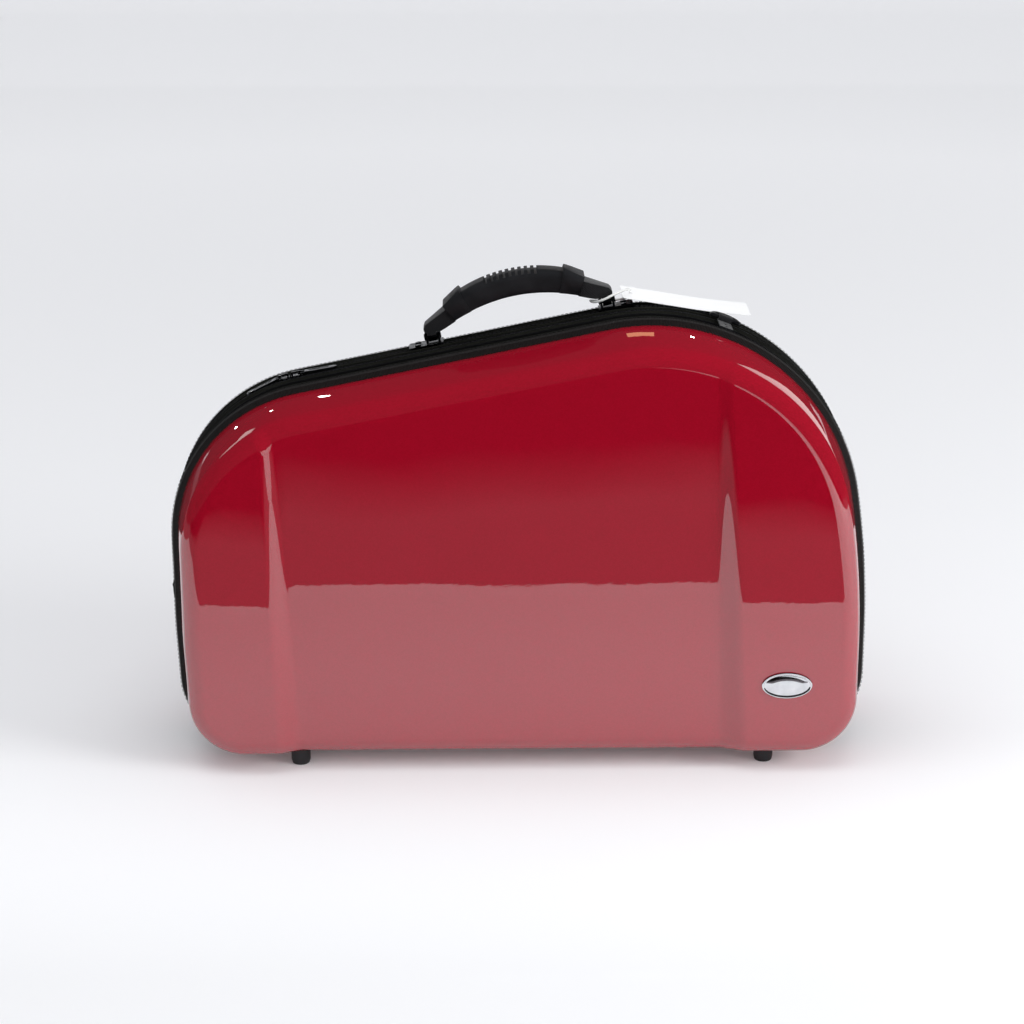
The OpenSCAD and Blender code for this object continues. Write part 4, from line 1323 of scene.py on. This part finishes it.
class HORNCASE_OT_plate(bpy.types.Operator):
    """A bare oval plate with a raised rim round a domed middle"""

    bl_idname = "horn_case.plate"
    bl_label = "Oval Plate"

    def execute(self, context):
        # (distance in from the outer edge, height) of each ring of the plate
        rings = [
            (0.1, 0), (0, 0.15), (0, 0.8), (0.12, 1.15), (0.45, 1.36), (1.0, PLATE_T), (1.5, 1.2),
            (1.85, 0.8), (2.1, 0.46), (GROOVE, GROOVE_H),
        ]
        for inset in (3, 4, 5, 6.5, 8, 10, PLATE_H / 2 - 0.01):
            out = (PLATE_H / 2 - inset) / (PLATE_H / 2 - GROOVE)
            rings.append((inset, GROOVE_H + DOME * (1 - out ** 2)))
        around = 96
        base = HALF + SHELL_DEPTH + 0.1     # just clear of the shell's face

        def place(i, j):
            inset, height = rings[j]
            turn = 2 * math.pi * i / around
            return stand(
                PLATE_AT[0] + (PLATE_W / 2 - inset) * math.cos(turn),
                PLATE_AT[1] + (PLATE_H / 2 - inset) * math.sin(turn),
                base + height,
            )

        o = shaped_grid("oval_plate", around, len(rings) - 1, place)
        face_outwards(o)
        with editing(o):
            fill_openings()
        smooth_by_angle(o, 50)
        chrome = metal("chromed zinc", "#e6e7ea", "#d3d5d9", 0.05, 200, 0.000004)
        finish_piece(o, "lid", chrome, ["badge"])
        return {"FINISHED"}


# ---- Swing tag and its loop ----

TAG_L = 114
TAG_W = 48
TAG_T = 0.5
TAG_CORNER = 3
CARD_BACK = 38          # the card's middle lies this far behind the case's
HOLE_D = 4
HOLE_IN = 8             # middle of the hole, from the card's end
HOLE_BACK = TAG_L / 2 - HOLE_IN - 3     # and from where the card lies on the crown
HOLE_BEYOND = 20        # how far right of the handle's foot the hole is
HOLE_OUT = 0.6          # how far the hole lies out of the band there
SEAT = 0.3              # gap under the card
CARD_MIDDLE = 0.4       # middle of the card's thickness, from that gap
CURL_FROM = 62          # the card curls up from here to its end
CURL = 2.2              # by this much at its end
CUP = 0.5               # and its long edges rise by this much there
LOOP_D = 2.2


def tag_geometry():
    """(angle round the crown, place of the hole, place of the handle's right foot)"""
    half_span = HANDLE_SPAN / 2
    foot = Vector(
        (
            HANDLE_X + half_span * cosd(TOP_SLOPE) - BAND_PROUD * sind(TOP_SLOPE),
            MID_H + HANDLE_X * tand(TOP_SLOPE) + half_span * sind(TOP_SLOPE)
            + BAND_PROUD * cosd(TOP_SLOPE),
        )
    )
    crown = CORNER[CROWN].centre
    out = CORNER[CROWN].radius + BAND_PROUD
    need = foot.x + HOLE_BEYOND - crown.x
    angle = math.degrees(
        math.asin(need / math.hypot(out, HOLE_BACK)) + math.atan2(HOLE_BACK, out)
    )
    hole = crown + (out + HOLE_OUT) * Vector((sind(angle), cosd(angle))) - HOLE_BACK * Vector(
        (cosd(angle), -sind(angle))
    )
    return angle, hole, foot


def on_crown(angle, x, y, z, depth):
    """From the crown's local place (X round it, Y out of it, Z towards the front)"""
    c = CORNER[CROWN]
    r = c.radius + BAND_PROUD + y
    return stand(
        c.centre.x + r * sind(angle) + x * cosd(angle),
        c.centre.y + r * cosd(angle) - x * sind(angle),
        depth + z,
    )


def smooth_route(knots, steps=4):
    """Points of a smooth curve through the knots"""
    route = []
    for k in range(len(knots) - 1):
        a = knots[max(0, k - 1)]
        b, c = knots[k], knots[k + 1]
        d = knots[min(len(knots) - 1, k + 2)]
        for m in range(steps):
            t = m / steps
            route.append(
                b + (c - a) * (t / 2) + (2 * a - 5 * b + 4 * c - d) * (t * t / 2)
                + (3 * b - a - 3 * c + d) * (t * t * t / 2)
            )
    return route + [knots[-1]]


def swing_card(angle):
    """A thin sheet with round corners and a punched hole, laid on the crown"""
    deselect()
    bpy.ops.mesh.primitive_grid_add(x_subdivisions=38, y_subdivisions=16, size=1)
    o = named(bpy.context.object, "swing_card")
    o.scale = (TAG_L, TAG_W, 1)
    to_origin(o)
    corner = Vector((TAG_L / 2 - TAG_CORNER, TAG_W / 2 - TAG_CORNER))
    for v in o.data.vertices:
        # Corners are rounded by drawing the grid in towards an arc
        r = Vector((abs(v.co.x), abs(v.co.y))) - corner
        if min(r) > 0 and r.length > TAG_CORNER:
            r = corner + r.normalized() * TAG_CORNER
            v.co.x = math.copysign(r.x, v.co.x)
            v.co.y = math.copysign(r.y, v.co.y)
    modified(o, "SOLIDIFY", thickness=TAG_T, offset=0)
    hole_x = -TAG_L / 2 + HOLE_IN
    deselect()
    bpy.ops.mesh.primitive_cylinder_add(
        vertices=40, radius=HOLE_D / 2, depth=6, location=(hole_x, 0, 0)
    )
    punch = bpy.context.object
    modified(o, "BOOLEAN", object=punch, solver="EXACT")
    bpy.data.objects.remove(punch, do_unlink=True)
    start = -HOLE_BACK - HOLE_IN
    for v in o.data.vertices:
        along = v.co.x + TAG_L / 2
        far = max(0, along - CURL_FROM) / (TAG_L - CURL_FROM)
        curl = CURL * far * far + CUP * (v.co.y / TAG_W * 2) ** 2 * (along / TAG_L)
        v.co = on_crown(
            angle, start + along, SEAT + CARD_MIDDLE + curl + v.co.z, -v.co.y, -CARD_BACK
        )
    face_outwards(o)
    smooth_by_angle(o, 40)
    return o


def loop_route(hole, foot):
    """The loop's points: out of the hole, behind the handle's foot, round it and back over
    the card"""

    def by_hole(x, y, d):
        return Vector((hole.x + x, hole.y + y, -CARD_BACK + d))

    def by_foot(x, y, d):
        return Vector((foot.x + x, foot.y + y, -HANDLE_BACK + d))

    knots = [
        by_hole(0, 0, 0), by_hole(-3, -3.6, 1), by_foot(8, 3.6, -15.5),
        by_foot(-1, 3.2, -13.5), by_foot(-11, 4.5, -8), by_foot(-15.5, 6.5, 0),
        by_foot(-13, 7.5, 9.5), by_foot(-6, 10.5, 15.5), by_foot(5, 15.5, 14),
        by_foot(14, 16, 1), by_hole(-1.5, 4.4, 4), by_hole(-0.2, 2.6, 2),
    ]
    return [stand(*p) for p in smooth_route(knots)]


def round_cord(name, points, diameter):
    """A round cord along these points, as a curve with closed ends"""
    curve = bpy.data.curves.new(name, "CURVE")
    curve.dimensions = "3D"
    curve.bevel_depth = diameter / 2
    curve.bevel_resolution = 3
    curve.use_fill_caps = True
    line = curve.splines.new("POLY")
    line.points.add(len(points) - 1)
    for point, p in zip(line.points, points):
        point.co = (*p, 1)
    line.use_smooth = True
    return in_scene(name, curve)


class HORNCASE_OT_tag(bpy.types.Operator):
    """A bare swing tag and the moulded loop that holds it to the handle's foot"""

    bl_idname = "horn_case.tag"
    bl_label = "Swing Tag"

    def execute(self, context):
        angle, hole, foot = tag_geometry()
        finish_piece(swing_card(angle), "tag", coated_card(), ["swing_tag"])
        points = loop_route(hole, foot)
        loop = round_cord("moulded_loop", points, LOOP_D * MM)
        loop.data.materials.append(clear_nylon())
        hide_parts("tag_loop")
        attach(loop, "tag")
        return {"FINISHED"}


# ---- Foam lining ----


class HORNCASE_OT_lining(bpy.types.Operator):
    """Two foam blocks with rounded wells, covered in plush"""

    bl_idname = "horn_case.lining"
    bl_label = "Lining"

    def execute(self, context):
        own = look("lining")
        plush = plush_lining(own)
        for name, _, body in HALVES:
            node = name + "_liner"
            o = softened(name + "_plush_foam", node, 0)
            modified(o, "REMESH", mode="VOXEL", voxel_size=own.grain)
            modified(o, "SMOOTH", factor=0.5, iterations=7)
            normals = [v.normal.copy() for v in o.data.vertices]
            for v, n in zip(o.data.vertices, normals):
                v.co += n * own.crown * noise.noise(v.co * 28)
            make_active(o)
            bpy.ops.object.shade_smooth()
            finish_piece(o, body, plush, [node])
        return {"FINISHED"}


# ---- Stage ----

CAMERA_AT = (-0.0446, -2.1249, 0.9028)
CAMERA_LOOKS = (0.0166, 0.9509, -0.3090)
CAMERA_ANGLE = 23.0
FLOOR_FRONT = -0.455    # where the cloth ends in front of the case
CLOTH_DROP = 0.004      # how much lower the floor lies in front of that
SHADE_FRONT = -0.53     # the shells mirror painted shade in front of this
SHADE_BACK = 0.62       # and behind this
OVER_CLOTH = 0.001      # height of the dark floors
CORNER_AT = 4.0         # where the dark corners stand, and the dark floor behind ends
BACKDROP_AT = 5.9
BACKDROP_TOP = 2.55
BEND = 0.5              # radius of the backdrop's bend into the floor
CEILING = 2.6
ROOM_WIDTH = 6.4
STAGE_WIDTH = 14
STAGE_DEPTH = 12
CASE_MIDDLE = (0, 0, 0.2)

# Sheets of painted shade that only the shells mirror: their side view from one (y, z) to the
# other, their width and middle, and their material
DARK_SHEETS = {
    "dim_floor_front": ((-6, OVER_CLOTH), (SHADE_FRONT, OVER_CLOTH), 7.5, -3.25, "dim floor"),
    "dim_floor_left": ((-6, OVER_CLOTH), (6, OVER_CLOTH), 5.6, -4.2, "dim floor"),
    "dim_floor_right": ((-6, OVER_CLOTH), (1.2, OVER_CLOTH), 5, 4.5, "dim floor"),
    "dim_floor_behind": ((SHADE_BACK, OVER_CLOTH), (CORNER_AT, OVER_CLOTH), 14, 0, "dim room"),
    "dim_corner_left": ((CORNER_AT, 0.25), (CORNER_AT, CEILING), 1.9, -2.45, "dim room"),
    "dim_corner_right": ((CORNER_AT, 0.25), (CORNER_AT, CEILING), 1.9, 2.45, "dim room"),
}

# Lamps and windows that the shells mirror: place, width and height, strength, colour
SOFTBOXES = {
    "window_right": ((2.05, 2.45, 1.15), (0.7, 2.1), 1.5, "#fbfaf8"),
    "window_left": ((-2.3, 2.2, 1.7), (1.4, 0.45), 1.4, "#fbfaf8"),
    "lamp_crown": ((1.0, 3.4, 2.1), (0.06, 0.05), 60.0, "#fbfaf8"),
    "lamp_slope": ((-1.0, 3.4, 2.2), (0.016, 0.07), 60.0, "#fbfaf8"),
    "lamp_ramp": ((-2.0, 4.4, 2.3), (0.06, 0.05), 60.0, "#fbfaf8"),
    "lamp_shoulder_a": ((-1.41, 3.3, 1.4), (0.05, 0.05), 60.0, "#fbfaf8"),
    "lamp_shoulder_b": ((-1.57, 3.3, 1.13), (0.05, 0.05), 50.0, "#fbfaf8"),
    "lamp_shoulder_c": ((-1.51, 3.3, 1.94), (0.04, 0.05), 50.0, "#fbfaf8"),
    "lamp_shoulder_d": ((-1.88, 3.3, 1.03), (0.05, 0.05), 40.0, "#fbfaf8"),
    "warm_lamp": ((0.19, 3.4, 2.35), (0.45, 0.22), 1.7, "#ffc998"),
}

# Lamps that light the case and aren't mirrored: place, aim, width and height, and power
# as a multiple of the key light's
LAMPS = {
    "overhead": ((-0.3, -0.5, 2.4), (0, 0.1, 0), (2.2, 1.6), 1.6),
    "right": ((2.9, -1.5, 1.4), CASE_MIDDLE, (1.4, 1.6), 5.6),
    "front": ((-0.3, -3.0, 1.6), CASE_MIDDLE, (1.6, 1.2), 0.6),
}


def stage_sheet(name, points, width, material, middle=0):
    """A sheet of the stage: a side view of (y, z) points, swept across"""

    def place(i, j):
        y, z = points[j]
        return Vector((middle + (i / 2 - 0.5) * width, y, z))

    o = shaped_grid(name, 2, len(points) - 1, place)
    make_active(o)
    bpy.ops.object.shade_smooth()
    coat(o, material)
    return o


def only_mirrored(o):
    """The shells mirror it, but it isn't in the view and gives the case no light"""
    for rays in ("camera", "diffuse", "transmission", "shadow"):
        setattr(o, "visible_" + rays, False)


def aimed(at, aim):
    return (Vector(aim) - Vector(at)).to_track_quat("-Z", "Y").to_euler()


def pale_cloth(own):
    # White cloth. What is seen of it, in the view or in a mirror, is lifted towards the
    # written colour away from the case, where the lamps no longer reach it
    f = Finish("pale cloth")
    place = f.add("TexCoord"), "Object"
    far = f.add("VectorMath", {0: place, 1: (0, 0.1, 0)}, operation="DISTANCE")
    lift = f.add("MapRange", {
        "Value": (far, "Value"), "From Min": 0.35, "From Max": 3.0,
        "To Min": own.floor_lift, "To Max": own.backdrop_lift,
    })
    ray = f.add("LightPath")
    seen = (ray, "Is Camera Ray")
    for other in ("Is Glossy Ray", "Is Transmission Ray"):
        seen = f.add("Math", {0: seen, 1: (ray, other)}, operation="MAXIMUM")
    f.fill(f.shader, {
        "Base Color": linear(own.floor), "Roughness": 0.8, "Emission Color": linear(own.floor),
        "Emission Strength": f.add("Math", {0: seen, 1: lift}, operation="MULTIPLY"),
    })
    return f.material


def glowing(f, colour, strength=1.0):
    """A surface that only glows"""
    f.fill(f.shader, {
        "Base Color": (0, 0, 0, 1), "Specular IOR Level": 0, "Emission Color": colour,
        "Emission Strength": strength,
    })
    return f.material


def mirrored_floor_shade():
    # Painted shade that the shells mirror in front of the cloth, painted a little lighter near it
    f = Finish("dim floor")
    place = f.add("TexCoord"), "Object"
    split = f.add("SeparateXYZ", {"Vector": place})
    drift = f.add("TexNoise", {"Vector": place, "Scale": 1.6})
    depth = f.summed(drift, 0.35, (split, 1))
    fade = f.add("MapRange", {"Value": depth, "From Min": -0.72, "From Max": -0.56})
    return glowing(f, f.add("ValToRGB", {"Fac": fade}, [(0.0, "#070607"), (1.0, "#767074")]))


def lamp(name, at, aim, size, power):
    data = bpy.data.lights.new(name, "AREA")
    data.shape = "RECTANGLE"
    data.size, data.size_y = size
    data.energy = power
    o = in_scene(name, data)
    o.location = at
    o.rotation_euler = aimed(at, aim)
    o.visible_glossy = False


def softbox(name, at, size, strength, colour):
    """A small bright sheet that faces the case and is only mirrored"""
    deselect()
    bpy.ops.mesh.primitive_plane_add(size=1)
    o = named(bpy.context.active_object, name)
    o.scale = (size[0], size[1], 1)
    o.rotation_euler = aimed(at, (0, 0, 0.3))
    o.location = at
    o.data.materials.append(glowing(Finish(name + " light"), linear(colour), strength))
    only_mirrored(o)


class HORNCASE_OT_stage(bpy.types.Operator):
    """Pale floor and backdrop, soft lights and the camera"""

    bl_idname = "horn_case.stage"
    bl_label = "Stage"

    def execute(self, context):
        own = look("stage")
        scene = context.scene
        camera = bpy.data.cameras.new("Camera")
        camera.angle = math.radians(CAMERA_ANGLE)
        camera.clip_end = 50
        scene.camera = in_scene("Camera", camera)
        scene.camera.location = CAMERA_AT
        scene.camera.rotation_euler = aimed((0, 0, 0), CAMERA_LOOKS)
        bend = [
            (BACKDROP_AT - BEND * (1 - sind(a)), BEND * (1 - cosd(a))) for a in range(0, 91, 5)
        ]
        stage_sheet(
            "floor_and_backdrop",
            [(-6, -CLOTH_DROP), (FLOOR_FRONT, -CLOTH_DROP), (FLOOR_FRONT, 0), (0, 0), (1, 0)]
            + bend + [(BACKDROP_AT, BACKDROP_TOP)],
            STAGE_WIDTH, pale_cloth(own),
        )
        dark = {
            "dim floor": mirrored_floor_shade(), "dim room": glowing(Finish("dim room"), linear(own.room))
        }
        for name, (start, end, width, middle, material) in DARK_SHEETS.items():
            only_mirrored(stage_sheet(name, [start, end], width, dark[material], middle))
        deselect()
        # A box of painted shade round the stage, which only the shells mirror
        bpy.ops.mesh.primitive_cube_add(size=1, location=(0, 0, CEILING / 2 - 0.01))
        room = named(bpy.context.active_object, "dim_room")
        room.scale = (ROOM_WIDTH, STAGE_DEPTH, CEILING)
        room.data.materials.append(dark["dim room"])
        only_mirrored(room)
        for name, values in SOFTBOXES.items():
            softbox(name, *values)
        scene.world = bpy.data.worlds.new("Studio")
        scene.world.use_nodes = True
        sky = scene.world.node_tree.nodes["Background"]
        sky.inputs["Color"].default_value = linear("#eef0f5")
        sky.inputs["Strength"].default_value = own.fill
        for name, (at, aim, size, share) in LAMPS.items():
            lamp(name, at, aim, size, own.key * share)
        scene.view_settings.view_transform = "Standard"
        return {"FINISHED"}


class HORNCASE_PT_panel(bpy.types.Panel):
    """Lists the pieces of the case"""

    bl_idname = "HORNCASE_PT_panel"
    bl_label = "Horn Case"
    bl_space_type = "VIEW_3D"
    bl_region_type = "UI"
    bl_category = "Horn Case"

    def draw(self, context):
        for name, group in LOOKS.items():
            box = self.layout.box()
            box.label(text=group.__name__)
            for key in group.__annotations__:
                box.prop(look(name), key)
        for operator in OPERATORS:
            self.layout.operator(operator.bl_idname)


LOOKS = {
    "shell": ShellLook,
    "band": BandLook,
    "handle": HandleLook,
    "lining": LiningLook,
    "stage": StageLook,
}
OPERATORS = [
    HORNCASE_OT_stage,
    HORNCASE_OT_tag,
    HORNCASE_OT_shells,
    HORNCASE_OT_band,
    HORNCASE_OT_zip,
    HORNCASE_OT_handle,
    HORNCASE_OT_pulls,
    HORNCASE_OT_rings,
    HORNCASE_OT_feet,
    HORNCASE_OT_plate,
    HORNCASE_OT_lining,
]


CLASSES = [*LOOKS.values(), *OPERATORS, HORNCASE_PT_panel]


def register():
    for each in CLASSES:
        bpy.utils.register_class(each)
    for name, group in LOOKS.items():
        setattr(bpy.types.Scene, "horn_case_" + name, bpy.props.PointerProperty(type=group))


def unregister():
    for name in LOOKS:
        delattr(bpy.types.Scene, "horn_case_" + name)
    for each in reversed(CLASSES):
        bpy.utils.unregister_class(each)


def main():
    register()
    for operator in OPERATORS:
        group, name = operator.bl_idname.split(".")
        getattr(getattr(bpy.ops, group), name)()


if __name__ == "__main__":
    main()
